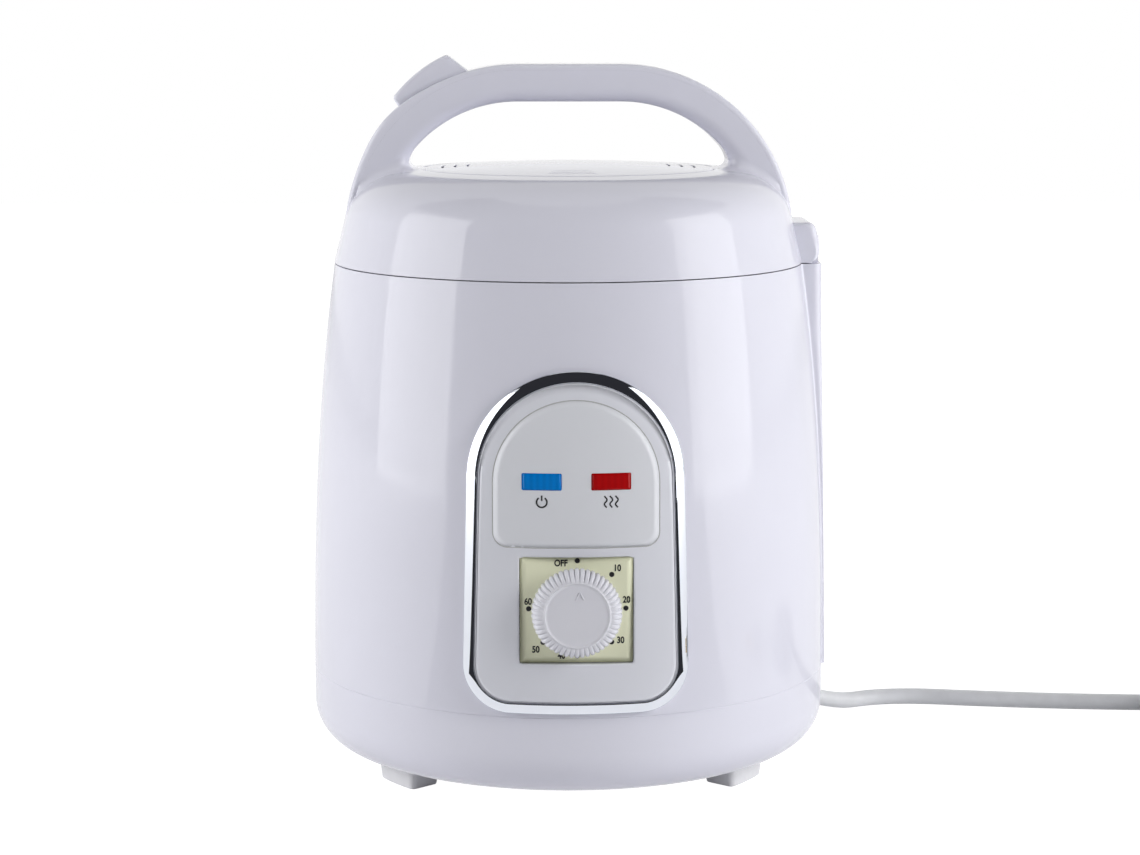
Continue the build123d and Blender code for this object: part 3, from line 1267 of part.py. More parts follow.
def main():
    """Builds every node and writes one STEP file for each."""
    for make in (
        make_shell, make_tray, make_feet, make_base_screws, make_panel, make_timer, make_knob, make_collar,
        make_pot, make_heater, make_hinge, make_lid_shell, make_vent_plate, make_liner, make_handle_cover,
        make_button, make_latch, make_cord,
    ):
        make()
    make_wiring(make_lamps())
    os.makedirs("parts", exist_ok=True)
    for name, shape in NODES.items():
        export_step(shape, f"parts/{name}.step")
    print(len(NODES), "nodes")


main()
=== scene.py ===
import json
import logging
from dataclasses import dataclass, field
from enum import Enum
from math import atan, cos, pi, radians, sin, sqrt, tan
from typing import Callable, Dict, List, Optional, Sequence, Tuple

import bmesh
import bpy
import numpy as np
from mathutils import Matrix, Vector


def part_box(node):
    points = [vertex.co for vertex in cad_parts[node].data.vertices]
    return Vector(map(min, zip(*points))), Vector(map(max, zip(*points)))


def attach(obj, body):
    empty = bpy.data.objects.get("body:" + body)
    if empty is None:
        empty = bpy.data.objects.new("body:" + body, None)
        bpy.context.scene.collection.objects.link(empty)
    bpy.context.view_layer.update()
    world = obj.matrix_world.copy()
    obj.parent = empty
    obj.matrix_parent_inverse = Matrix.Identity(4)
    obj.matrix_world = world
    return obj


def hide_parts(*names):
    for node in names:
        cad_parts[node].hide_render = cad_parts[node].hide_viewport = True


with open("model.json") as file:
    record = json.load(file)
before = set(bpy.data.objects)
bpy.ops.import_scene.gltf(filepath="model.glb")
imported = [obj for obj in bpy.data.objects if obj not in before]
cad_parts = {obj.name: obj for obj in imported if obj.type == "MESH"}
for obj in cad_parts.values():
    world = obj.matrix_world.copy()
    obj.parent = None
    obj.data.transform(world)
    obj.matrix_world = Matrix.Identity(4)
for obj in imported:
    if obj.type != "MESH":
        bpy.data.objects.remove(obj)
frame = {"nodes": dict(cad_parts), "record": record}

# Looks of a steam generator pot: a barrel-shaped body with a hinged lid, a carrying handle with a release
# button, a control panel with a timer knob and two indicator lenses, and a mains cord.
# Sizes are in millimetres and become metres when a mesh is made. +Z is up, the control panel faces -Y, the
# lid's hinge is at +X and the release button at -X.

MM = 0.001
WELD = 1e-6  # points closer than this, in metres, become one
LEAST_RADIUS = 0.05  # of a corner that an inset has all but used up, in millimetres
HINGE_PIN = (88.0, 191.0)  # x and z of the lid's hinge

Colour = Tuple[float, float, float]
Point = Tuple[float, float, float]
Loop = Callable[[float], np.ndarray]
Place = Callable[[np.ndarray, np.ndarray, float], np.ndarray]

log = logging.getLogger("steam_pot")


# ---------------------------------------------------------------- meshes from grids
def cells(index: np.ndarray, ring_rows: bool, ring_columns: bool) -> np.ndarray:
    """Corner indices of every cell of a grid.

    Args:
        index: rows x columns of point numbers.
        ring_rows: the last row joins the first.
        ring_columns: the last column joins the first.

    Returns:
        rows x columns x 4 point numbers, going round each cell.
    """
    if ring_rows:
        index = np.concatenate([index, index[:1]])
    if ring_columns:
        index = np.concatenate([index, index[:, :1]], axis=1)
    return np.stack([index[:-1, :-1], index[:-1, 1:], index[1:, 1:], index[1:, :-1]], axis=-1)


def enclosed_volume(points: np.ndarray, quads: np.ndarray) -> float:
    """Signed volume inside closed quads: the sum of the tetrahedra from the origin to each half quad."""
    a, b, c, d = (points[quads[:, k]] for k in range(4))
    halves = np.einsum("ij,ij->i", a, np.cross(b, c)) + np.einsum("ij,ij->i", a, np.cross(c, d))
    return float(halves.sum() / 6)


@dataclass(frozen=True)
class Skin:
    """Points and quads of one closed surface, in millimetres."""

    points: np.ndarray
    quads: np.ndarray

    def outward(self) -> "Skin":
        """The same surface with its faces pointing outwards."""
        if enclosed_volume(self.points, self.quads) < 0:
            return Skin(self.points, self.quads[:, ::-1])
        return self


def tube(points: np.ndarray, ring_rows: bool = False, ring_columns: bool = True) -> Skin:
    """A closed surface from one grid of points.

    Args:
        points: rows x columns x 3. Where a row is one point repeated, it closes the surface as a pole.
        ring_rows: the last row joins the first.
        ring_columns: the last column joins the first.

    Returns:
        The surface, facing outwards.
    """
    rows, columns = points.shape[:2]
    index = np.arange(rows * columns).reshape(rows, columns)
    quads = cells(index, ring_rows, ring_columns).reshape(-1, 4)
    return Skin(points.reshape(-1, 3), quads).outward()


def wall(outer: np.ndarray, inner: np.ndarray, keep: np.ndarray, ring_columns: bool = True) -> Skin:
    """A closed wall between two grids, pierced where cells are left out.

    Every border of the kept cells is closed by quads that run from one grid to the other.

    Args:
        outer: rows x columns x 3 points of one face.
        inner: rows x columns x 3 points of the other face.
        keep: which cells there are, as rows x columns of true or false.
        ring_columns: the last column joins the first.

    Returns:
        The surface, facing outwards.
    """
    rows, columns = outer.shape[:2]
    count = rows * columns
    face = cells(np.arange(count).reshape(rows, columns), False, ring_columns)[keep]
    starts = face.reshape(-1)
    ends = np.roll(face, -1, axis=1).reshape(-1)
    border = ~np.isin(starts * count + ends, ends * count + starts)
    a, b = starts[border], ends[border]
    rim = np.stack([b, a, a + count, b + count], axis=1)
    quads = np.concatenate([face, face[:, ::-1] + count, rim])
    return Skin(np.concatenate([outer.reshape(-1, 3), inner.reshape(-1, 3)]), quads).outward()


def place_in_scene(name: str, data: bpy.types.ID) -> bpy.types.Object:
    """An object that shows some data, linked to the scene."""
    piece = bpy.data.objects.new(name, data)
    bpy.context.scene.collection.objects.link(piece)
    return piece


def add_piece(name: str, skins: Sequence[Skin]) -> bpy.types.Object:
    """A mesh object from closed surfaces, in place, in metres and shaded smooth.

    Args:
        name: the object's name.
        skins: its surfaces.

    Returns:
        The object, linked to the scene.
    """
    offsets = np.cumsum([0] + [len(skin.points) for skin in skins[:-1]])
    points = np.concatenate([skin.points for skin in skins]) * MM
    quads = np.concatenate([skin.quads + offset for skin, offset in zip(skins, offsets)])
    mesh = bpy.data.meshes.new(name)
    mesh.vertices.add(len(points))
    mesh.vertices.foreach_set("co", points.astype(np.float32).ravel())
    mesh.loops.add(quads.size)
    mesh.loops.foreach_set("vertex_index", quads.astype(np.int32).ravel())
    mesh.polygons.add(len(quads))
    mesh.polygons.foreach_set("loop_start", np.arange(0, quads.size, 4, dtype=np.int32))
    mesh.update(calc_edges=True)
    body = bmesh.new()
    body.from_mesh(mesh)
    bmesh.ops.remove_doubles(body, verts=body.verts, dist=WELD)
    body.to_mesh(mesh)
    body.free()
    mesh.polygons.foreach_set("use_smooth", np.ones(len(mesh.polygons), dtype=bool))
    return place_in_scene(name, mesh)


def soften(piece: bpy.types.Object, width: float, segments: int = 3, angle: float = 35.0) -> None:
    """Rounds a piece's sharp edges and keeps its flat faces flat.

    Args:
        piece: the object.
        width: width of the rounding in millimetres.
        segments: steps across it.
        angle: only edges that turn by more degrees than this are rounded.
    """
    bevel = piece.modifiers.new("soft_edges", "BEVEL")
    bevel.width = width * MM
    bevel.segments = segments
    bevel.limit_method = "ANGLE"
    bevel.angle_limit = radians(angle)
    even = piece.modifiers.new("even_normals", "WEIGHTED_NORMAL")
    even.keep_sharp = True


# ---------------------------------------------------------------- outlines
def arc(centre: Tuple[float, float], radius: float, start: float, end: float, steps: int) -> np.ndarray:
    """Points on an arc between two angles in degrees: centre + radius (cos, sin)."""
    angle = np.radians(np.linspace(start, end, steps))
    return np.array(centre) + radius * np.stack([np.cos(angle), np.sin(angle)], axis=1)


def run(start: Sequence[float], end: Sequence[float], steps: int) -> np.ndarray:
    """Evenly spaced points strictly between two points: (1 - t) start + t end."""
    share = np.linspace(0, 1, steps + 2)[1:-1, None]
    return (1 - share) * np.array(start) + share * np.array(end)


def round_corners(corners: np.ndarray, radii: Sequence[float], steps: int = 6) -> np.ndarray:
    """A closed outline with every corner made an arc.

    The arc of radius r touches both sides at r / tan(half the corner's angle). Its points are the circular
    blend of the two directions from its centre to where it touches.

    Args:
        corners: count x 2 corner points.
        radii: one radius for each corner.
        steps: points on each arc.

    Returns:
        (count x steps) x 2 points.
    """
    radii = np.asarray(radii, dtype=float)[:, None]
    before = np.roll(corners, 1, axis=0) - corners
    after = np.roll(corners, -1, axis=0) - corners
    before = before / np.linalg.norm(before, axis=1, keepdims=True)
    after = after / np.linalg.norm(after, axis=1, keepdims=True)
    half = 0.5 * np.arccos((before * after).sum(axis=1, keepdims=True))
    reach = radii / np.tan(half)
    middle = before + after
    centre = corners + middle / np.linalg.norm(middle, axis=1, keepdims=True) * radii / np.sin(half)
    start = corners + before * reach - centre
    end = corners + after * reach - centre
    sweep = (pi - 2 * half)[:, None]
    share = np.linspace(0, 1, steps)[None, :, None]
    blend = np.sin((1 - share) * sweep) * start[:, None] + np.sin(share * sweep) * end[:, None]
    return (centre[:, None] + blend / np.sin(sweep)).reshape(-1, 2)


def with_sides(bends: np.ndarray, steps: Tuple[int, int]) -> np.ndarray:
    """Four arcs joined into one outline by straight runs, which take the two step counts in turn."""
    sides = [run(bends[k][-1], bends[(k + 1) % 4][0], steps[k % 2]) for k in range(4)]
    return np.concatenate([part for pair in zip(bends, sides) for part in pair])


def polar(radius: np.ndarray, angle: np.ndarray, height: np.ndarray) -> np.ndarray:
    """Points (radius cos a, radius sin a, height) for an angle a in radians."""
    parts = np.broadcast_arrays(radius * np.cos(angle), radius * np.sin(angle), height)
    return np.stack(parts, axis=-1)


def even_spacing(loop: np.ndarray, count: int) -> np.ndarray:
    """A closed outline with its points spread evenly along its length."""
    closed = np.concatenate([loop, loop[:1]])
    along = np.concatenate([[0], np.cumsum(np.linalg.norm(np.diff(closed, axis=0), axis=1))])
    wanted = np.linspace(0, along[-1], count, endpoint=False)
    return np.stack([np.interp(wanted, along, closed[:, k]) for k in range(2)], axis=1)


def box_loop(width: float, height: float, radius: float, centre: Tuple[float, float] = (0, 0)) -> Loop:
    """An outline function for a rectangle with rounded corners, which shrinks by an inset."""

    def loop(inset: float) -> np.ndarray:
        """The rectangle inside the inset."""
        a, b = width / 2 - inset, height / 2 - inset
        corners = np.array([(-a, -b), (a, -b), (a, b), (-a, b)]) + np.array(centre)
        bends = round_corners(corners, [max(radius - inset, LEAST_RADIUS)] * 4).reshape(4, -1, 2)
        return with_sides(bends, (14, 14))

    return loop


def quarter(edge: float, steps: int = 4) -> List[Tuple[float, float]]:
    """Inset and drop of a rounded edge: edge (1 - sin), edge (1 - cos) over a quarter turn."""
    turn = np.linspace(0, pi / 2, steps)
    return [(edge * (1 - sin(t)), edge * (1 - cos(t))) for t in turn][::-1]


def pad(loop: Loop, place: Place, foot: float, face: float, edge: float, rings: int = 7) -> Skin:
    """A plate with a rounded rim: upright at its outline, then round, then flat to its middle.

    The face's rings are the rim's outline scaled towards its middle.

    Args:
        loop: the outline as a function of an inset.
        place: puts outline points at a height above the seat.
        foot: height of the plate's back.
        face: height of its face.
        edge: radius of the rim.
        rings: rings from the rim to the middle.

    Returns:
        The closed plate.
    """
    rows = [(loop(0), foot), (loop(0), face - edge)]
    rows += [(loop(edge - inset), face - edge + drop) for inset, drop in quarter(edge)]
    rim = loop(edge)
    middle = rim.mean(axis=0)
    rows += [(middle + (rim - middle) * share, face) for share in np.linspace(1, 0, rings + 1)[1:]]
    rows.append((np.repeat(middle[None], len(rim), axis=0), foot))
    grid = [place(outline[:, 0], outline[:, 1], height) for outline, height in rows]
    return tube(np.stack(grid), ring_rows=True)


def prism(sections: Sequence[np.ndarray]) -> Skin:
    """A closed solid from rings of points, with flat ends: each end ring is drawn in to its middle."""
    first, last = sections[0], sections[-1]
    ends = [np.repeat(ring.mean(axis=0)[None], len(ring), axis=0) for ring in (first, last)]
    return tube(np.stack([ends[0], *sections, ends[1]]))


def turned(profile: np.ndarray, columns: int = 128) -> Skin:
    """A solid of revolution about Z: (r cos a, r sin a, z) for a closed profile of radius and height."""
    angle = np.linspace(0, 2 * pi, columns, endpoint=False)[None, :]
    return tube(polar(profile[:, 0, None], angle, profile[:, 1, None]), ring_rows=True)


def about_axis(points: np.ndarray, origin: Sequence[float], axis: Sequence[float]) -> np.ndarray:
    """Points made about +Z, turned so that +Z lies along an axis, and moved to an origin."""
    turn = np.array(Vector((0, 0, 1)).rotation_difference(Vector(axis)).to_matrix())
    return points @ turn.T + np.array(origin)


def box_mm(node: str) -> Tuple[np.ndarray, np.ndarray]:
    """Lowest and highest corner of a CAD node, in millimetres."""
    low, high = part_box(node)
    return np.array(low) / MM, np.array(high) / MM


# ---------------------------------------------------------------- finishes
class Body(Enum):
    """The bodies that pieces ride on."""

    BASE = "base"
    LID = "lid"
    BUTTON = "release_button"
    KNOB = "timer_knob"


class Nodes:
    """Short calls to build a material's node tree."""

    def __init__(self, name: str) -> None:
        """Starts a material with a Principled shader on Object coordinates."""
        self.material = bpy.data.materials.new(name + "_finish")
        self.material.use_nodes = True
        self.tree = self.material.node_tree
        self.shader = self.tree.nodes["Principled BSDF"]
        self.place = self.add("ShaderNodeTexCoord").outputs["Object"]

    def add(self, kind: str, **settings: object) -> bpy.types.Node:
        """A node of a kind with its settings."""
        node = self.tree.nodes.new(kind)
        for key, value in settings.items():
            setattr(node, key, value)
        return node

    def link(self, source: bpy.types.NodeSocket, target: bpy.types.NodeSocket) -> None:
        """Joins an output to an input."""
        self.tree.links.new(source, target)

    def stretched(self, scale: Point) -> bpy.types.NodeSocket:
        """Object coordinates stretched along the axes."""
        mapping = self.add("ShaderNodeMapping")
        mapping.inputs["Scale"].default_value = scale
        self.link(self.place, mapping.inputs["Vector"])
        return mapping.outputs["Vector"]

    def noise(
        self, scale: float, detail: float = 2.0, place: Optional[bpy.types.NodeSocket] = None
    ) -> bpy.types.NodeSocket:
        """A noise value of a scale in cycles per metre."""
        node = self.add("ShaderNodeTexNoise")
        node.inputs["Scale"].default_value = scale
        node.inputs["Detail"].default_value = detail
        self.link(place or self.place, node.inputs["Vector"])
        return node.outputs["Fac"]

    def ranged(self, value: bpy.types.NodeSocket, low: float, high: float) -> bpy.types.NodeSocket:
        """A noise value spread between two levels."""
        node = self.add("ShaderNodeMapRange")
        node.inputs["From Min"].default_value = 0.3
        node.inputs["From Max"].default_value = 0.7
        node.inputs["To Min"].default_value = low
        node.inputs["To Max"].default_value = high
        self.link(value, node.inputs["Value"])
        return node.outputs["Result"]

    def tinted(self, value: bpy.types.NodeSocket, dark: Colour, light: Colour) -> None:
        """The shader's colour as a blend of two tones by a value."""
        node = self.add("ShaderNodeMix", data_type="RGBA")
        colours = [socket for socket in node.inputs if socket.type == "RGBA"]
        colours[0].default_value = (*dark, 1)
        colours[1].default_value = (*light, 1)
        self.link(value, node.inputs["Factor"])
        result = [socket for socket in node.outputs if socket.type == "RGBA"][0]
        self.link(result, self.shader.inputs["Base Color"])

    def bumped(self, height: bpy.types.NodeSocket, strength: float, depth: float) -> None:
        """The shader's normal from a height of a depth in millimetres, added to any bump before it."""
        node = self.add("ShaderNodeBump")
        node.inputs["Strength"].default_value = strength
        node.inputs["Distance"].default_value = depth * MM
        self.link(height, node.inputs["Height"])
        before = self.shader.inputs["Normal"].links
        if before:
            self.link(before[0].from_socket, node.inputs["Normal"])
        self.link(node.outputs["Normal"], self.shader.inputs["Normal"])

    def clouded(self, colour: Colour, tone: float, scale: float, detail: float) -> None:
        """The shader's colour with clouds of a darker tone, from a noise of a scale and detail."""
        self.tinted(self.ranged(self.noise(scale, detail), 0, 1), shade(colour, tone), colour)

    def roughened(self, value: bpy.types.NodeSocket) -> None:
        """The shader's roughness from a value."""
        self.link(value, self.shader.inputs["Roughness"])

    def set(self, **values: float) -> None:
        """Constants on the shader's own sockets, with spaces for underscores."""
        for key, value in values.items():
            self.shader.inputs[key.replace("_", " ")].default_value = value


def shade(colour: Colour, factor: float) -> Colour:
    """A colour made darker or lighter by a factor."""
    return tuple(min(channel * factor, 1.0) for channel in colour)


@dataclass(frozen=True)
class Plastic:
    """Moulded plastic: faint flow tone, uneven gloss, orange peel and, if it is grained, a spark texture."""

    name: str
    colour: Colour
    rough: Tuple[float, float] = (0.05, 0.09)
    tone: float = 0.985
    grain: float = 0.0  # strength of the spark texture
    peel: float = 0.04

    def build(self) -> bpy.types.Material:
        """Makes the material."""
        nodes = Nodes(self.name)
        nodes.clouded(self.colour, self.tone, 22, 3)
        nodes.roughened(nodes.ranged(nodes.noise(70, 4), *self.rough))
        nodes.bumped(nodes.noise(160, 1), self.peel, 0.05)
        if self.grain:
            nodes.bumped(nodes.noise(5200, 2), self.grain, 0.02)
        nodes.set(IOR=1.49)
        return nodes.material


@dataclass(frozen=True)
class Chrome:
    """Bright plated trim with a faint haze and hairline wiping marks."""

    name: str
    colour: Colour
    rough: Tuple[float, float] = (0.01, 0.035)

    def build(self) -> bpy.types.Material:
        """Makes the material."""
        nodes = Nodes(self.name)
        nodes.clouded(self.colour, 0.97, 120, 3)
        nodes.roughened(nodes.ranged(nodes.noise(300, 4), *self.rough))
        nodes.bumped(nodes.noise(90, 3, nodes.stretched((1, 1, 14))), 0.03, 0.03)
        nodes.set(Metallic=1.0)
        return nodes.material


@dataclass(frozen=True)
class SheetMetal:
    """Drawn or machined metal: brushed along one direction, with cloudy tone."""

    name: str
    colour: Colour
    rough: Tuple[float, float] = (0.22, 0.36)
    brush: Point = (1, 1, 30)

    def build(self) -> bpy.types.Material:
        """Makes the material."""
        nodes = Nodes(self.name)
        nodes.clouded(self.colour, 0.9, 45, 4)
        lines = nodes.noise(220, 3, nodes.stretched(self.brush))
        nodes.roughened(nodes.ranged(lines, *self.rough))
        nodes.bumped(lines, 0.05, 0.02)
        nodes.set(Metallic=1.0)
        return nodes.material


@dataclass(frozen=True)
class LensPlastic:
    """Clear coloured plastic over a finely ribbed back."""

    name: str
    colour: Colour
    ribs: float = 900.0  # per metre

    def build(self) -> bpy.types.Material:
        """Makes the material."""
        nodes = Nodes(self.name)
        ribs = nodes.add("ShaderNodeTexWave", bands_direction="X")
        ribs.inputs["Scale"].default_value = self.ribs / (2 * pi)
        nodes.link(nodes.place, ribs.inputs["Vector"])
        nodes.tinted(ribs.outputs["Fac"], shade(self.colour, 0.88), self.colour)
        nodes.roughened(nodes.ranged(nodes.noise(300, 2), 0.08, 0.16))
        nodes.bumped(nodes.noise(400, 1), 0.05, 0.03)
        nodes.set(IOR=1.4)
        return nodes.material


@dataclass(frozen=True)
class Rubber:
    """Matt soft rubber with a fine dusty grain."""

    name: str
    colour: Colour
    rough: Tuple[float, float] = (0.5, 0.7)

    def build(self) -> bpy.types.Material:
        """Makes the material."""
        nodes = Nodes(self.name)
        nodes.clouded(self.colour, 0.93, 180, 5)
        nodes.roughened(nodes.ranged(nodes.noise(400, 3), *self.rough))
        nodes.bumped(nodes.noise(2600, 3), 0.12, 0.03)
        nodes.set(IOR=1.5)
        return nodes.material


@dataclass(frozen=True)
class Glass:
    """Thin clear glass of a lamp bulb."""

    name: str
    colour: Colour

    def build(self) -> bpy.types.Material:
        """Makes the material."""
        nodes = Nodes(self.name)
        nodes.clouded(self.colour, 0.97, 200, 2)
        nodes.roughened(nodes.ranged(nodes.noise(300, 2), 0.02, 0.05))
        nodes.set(IOR=1.45, Transmission_Weight=0.9)
        return nodes.material


WHITE = (0.715, 0.715, 0.8)
FINISHES = {
    finish.name: finish
    for finish in (
        Plastic("white_plastic", WHITE),
        Plastic("grey_plastic", (0.715, 0.725, 0.78), rough=(0.13, 0.2), grain=0.03),
        Plastic("label_film", (0.71, 0.722, 0.762), rough=(0.3, 0.36), grain=0.04),
        # Chrome's own silver, tinted bluish grey as a painted reflection of the lavender shade that the
        # frame's lower side shows
        Chrome("chrome_trim", (0.76, 0.785, 0.84)),
        LensPlastic("blue_lens", (0.0, 0.19, 0.6)),
        LensPlastic("red_lens", (0.42, 0.002, 0.003)),
        Plastic("dial_plastic", (0.79, 0.8, 0.59), rough=(0.4, 0.5), grain=0.05),
        Plastic("knob_plastic", (0.725, 0.725, 0.78), rough=(0.16, 0.24)),
        Rubber("foot_rubber", (0.74, 0.74, 0.76)),
        Rubber("cord_sheath", (0.74, 0.75, 0.77), rough=(0.34, 0.46)),
        Plastic("tie_plastic", (0.8, 0.8, 0.8), rough=(0.35, 0.5)),
        SheetMetal("brass", (0.62, 0.45, 0.17), rough=(0.16, 0.28)),
        SheetMetal("steel", (0.55, 0.56, 0.58)),
        SheetMetal("aluminium", (0.78, 0.79, 0.8), brush=(2, 40, 2)),
        SheetMetal("shield_metal", (0.62, 0.63, 0.65), rough=(0.3, 0.5)),
        Plastic("inner_plastic", (0.7, 0.7, 0.72), rough=(0.3, 0.42), grain=0.05),
        Rubber("gasket_rubber", (0.62, 0.62, 0.6)),
        Glass("lamp_glass", (0.9, 0.9, 0.88)),
        Rubber("wire_insulation", (0.45, 0.05, 0.02), rough=(0.3, 0.45)),
        Plastic("print_ink", (0.012, 0.012, 0.014), rough=(0.4, 0.5)),
        # Painted shade: the dark colour of the flat band that stands for the shade in the groove round the
        # label
        Plastic("seam_shade", (0.4, 0.4, 0.39), rough=(0.5, 0.6)),
    )
}

MADE: Dict[str, bpy.types.Material] = {}


def finish(name: str) -> bpy.types.Material:
    """A finish's material, made the first time it is asked for."""
    if name not in MADE:
        MADE[name] = FINISHES[name].build()
    return MADE[name]


def settle(piece: bpy.types.Object, body: Body, slot: str, nodes: Sequence[str] = (), look: str = "") -> None:
    """Gives a piece its finish, the body that it rides on and the CAD nodes that it stands for.

    Args:
        piece: the finished object.
        body: the body that carries it.
        slot: the record's material slot.
        nodes: the CAD nodes that it replaces.
        look: a finish other than the slot's own.
    """
    piece.data.materials.clear()
    piece.data.materials.append(finish(look or slot))
    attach(piece, body.value)
    if nodes:
        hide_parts(*nodes)
    log.info("%s rides on %s", piece.name, body.value)


# ---------------------------------------------------------------- the body
@dataclass(frozen=True)
class Barrel:
    """The body's outside: a radius that narrows towards the lid seam."""

    low: float = 37.3  # lower seam
    high: float = 186.2  # lid seam
    radius: float = 95.0
    narrowing: float = 9.2
    square_share: float = 0.8  # of the narrowing, the rest follows the fourth power

    def at(self, z: np.ndarray) -> np.ndarray:
        """Radius at a height: radius - narrowing (0.8 u^2 + 0.2 u^4), u from 0 at the low seam to 1."""
        u = (z - self.low) / (self.high - self.low)
        return self.radius - self.narrowing * (self.square_share * u**2 + (1 - self.square_share) * u**4)

    def lift(self, x: np.ndarray, z: np.ndarray, offset: float) -> np.ndarray:
        """Points in front of the barrel at an offset from its face: y = -sqrt((R + offset)^2 - x^2)."""
        y = -np.sqrt((self.at(z) + offset) ** 2 - x**2)
        return np.stack([x, y, z], axis=-1)


BARREL = Barrel()


@dataclass
class ShellMoulding:
    """The barrel-shaped shell with its hinge column and the two knuckles of the hinge."""

    wall: float = 2.5
    seam_gap: float = 0.1
    column_half: float = 15.5
    column_low: float = 94.8
    column_top: float = 92.1
    column_edge: float = 3.5
    column_root: float = 1.0  # fillet where the column leaves the barrel
    knuckle_radius: float = 3.3
    knuckle_root: float = 2.0  # how deep a knuckle's foot stands in the shell
    knuckle: Tuple[float, float] = (5.4, 9.0)
    window: Tuple[float, float, float] = (54.0, 97.0, 22.0)  # low, high and half width behind the panel
    rows: int = 60

    def contour(self, z: np.ndarray) -> np.ndarray:
        """Plan outline at each height, anticlockwise from the middle of the column's face.

        It runs along the face, round the edge by an arc, along the side, round the root by an arc that
        touches the barrel's circle, round the barrel, and back the same way.

        Args:
            z: the heights.

        Returns:
            heights x points x 2.
        """
        radius = BARREL.at(z)[:, None]
        share = ((z - BARREL.low) / (BARREL.high - BARREL.low))[:, None]
        reach = self.column_low + (self.column_top - self.column_low) * share
        half, root = self.column_half, self.column_root
        root_x = np.sqrt((radius + root) ** 2 - (half + root) ** 2)
        edge = np.minimum(self.column_edge, 0.85 * (reach - root_x))
        turn = np.linspace(0, pi / 2, 7)[None, :]
        face = np.stack([reach + 0 * turn[:, :4], np.linspace(0, 1, 5)[None, :-1] * (half - edge)], axis=-1)
        bend = np.stack([reach - edge + edge * np.cos(turn), half - edge + edge * np.sin(turn)], axis=-1)
        end = np.arctan2(half + root, root_x)
        hollow = -pi / 2 + np.linspace(0, 1, 6)[None, :] * (end - pi / 2)
        fillet = np.stack([root_x + root * np.cos(hollow), half + root + root * np.sin(hollow)], axis=-1)
        angle = end + np.linspace(0, 1, 152)[None, 1:-1] * (2 * pi - 2 * end)
        circle = np.stack([radius * np.cos(angle), radius * np.sin(angle)], axis=-1)
        upper = np.concatenate([face, bend, fillet], axis=1)
        lower = upper[:, :0:-1] * np.array([1, -1])
        return np.concatenate([upper, circle, lower], axis=1)

    def shell(self) -> Skin:
        """The wall between the outer contour and the barrel's inside, pierced behind the panel."""
        low, high, half = self.window
        z = np.linspace(BARREL.low, BARREL.high - self.seam_gap, self.rows)
        plan = self.contour(z)
        height = np.repeat(z[:, None], plan.shape[1], axis=1)
        outer = np.concatenate([plan, height[..., None]], axis=-1)
        inside = (BARREL.at(z) - self.wall)[:, None]
        angle = np.arctan2(plan[..., 1], plan[..., 0])
        inner = polar(inside, angle, height)
        middle = (outer[:-1] + outer[1:]) / 2
        x, y, level = middle[..., 0], middle[..., 1], middle[..., 2]
        keep = ~((y < 0) & (np.abs(x) < half) & (level > low) & (level < high))
        return wall(outer, inner, keep)

    def lugs(self) -> List[Skin]:
        """The two knuckles: a round head on a straight foot, extruded along the hinge pin."""
        x, radius = HINGE_PIN[0], self.knuckle_radius
        head = arc(HINGE_PIN, radius, 0, 180, 16)
        root = BARREL.high - self.knuckle_root
        outline = np.concatenate([head, [(x - radius, root), (x + radius, root)]])
        return [prism([np.insert(outline, 1, side * y, axis=1) for y in self.knuckle]) for side in (-1, 1)]

    def build(self) -> None:
        """Makes the shell piece."""
        piece = add_piece("body_shell", [self.shell(), *self.lugs()])
        soften(piece, 0.3, 3)
        settle(piece, Body.BASE, "white_plastic", ["shell"])


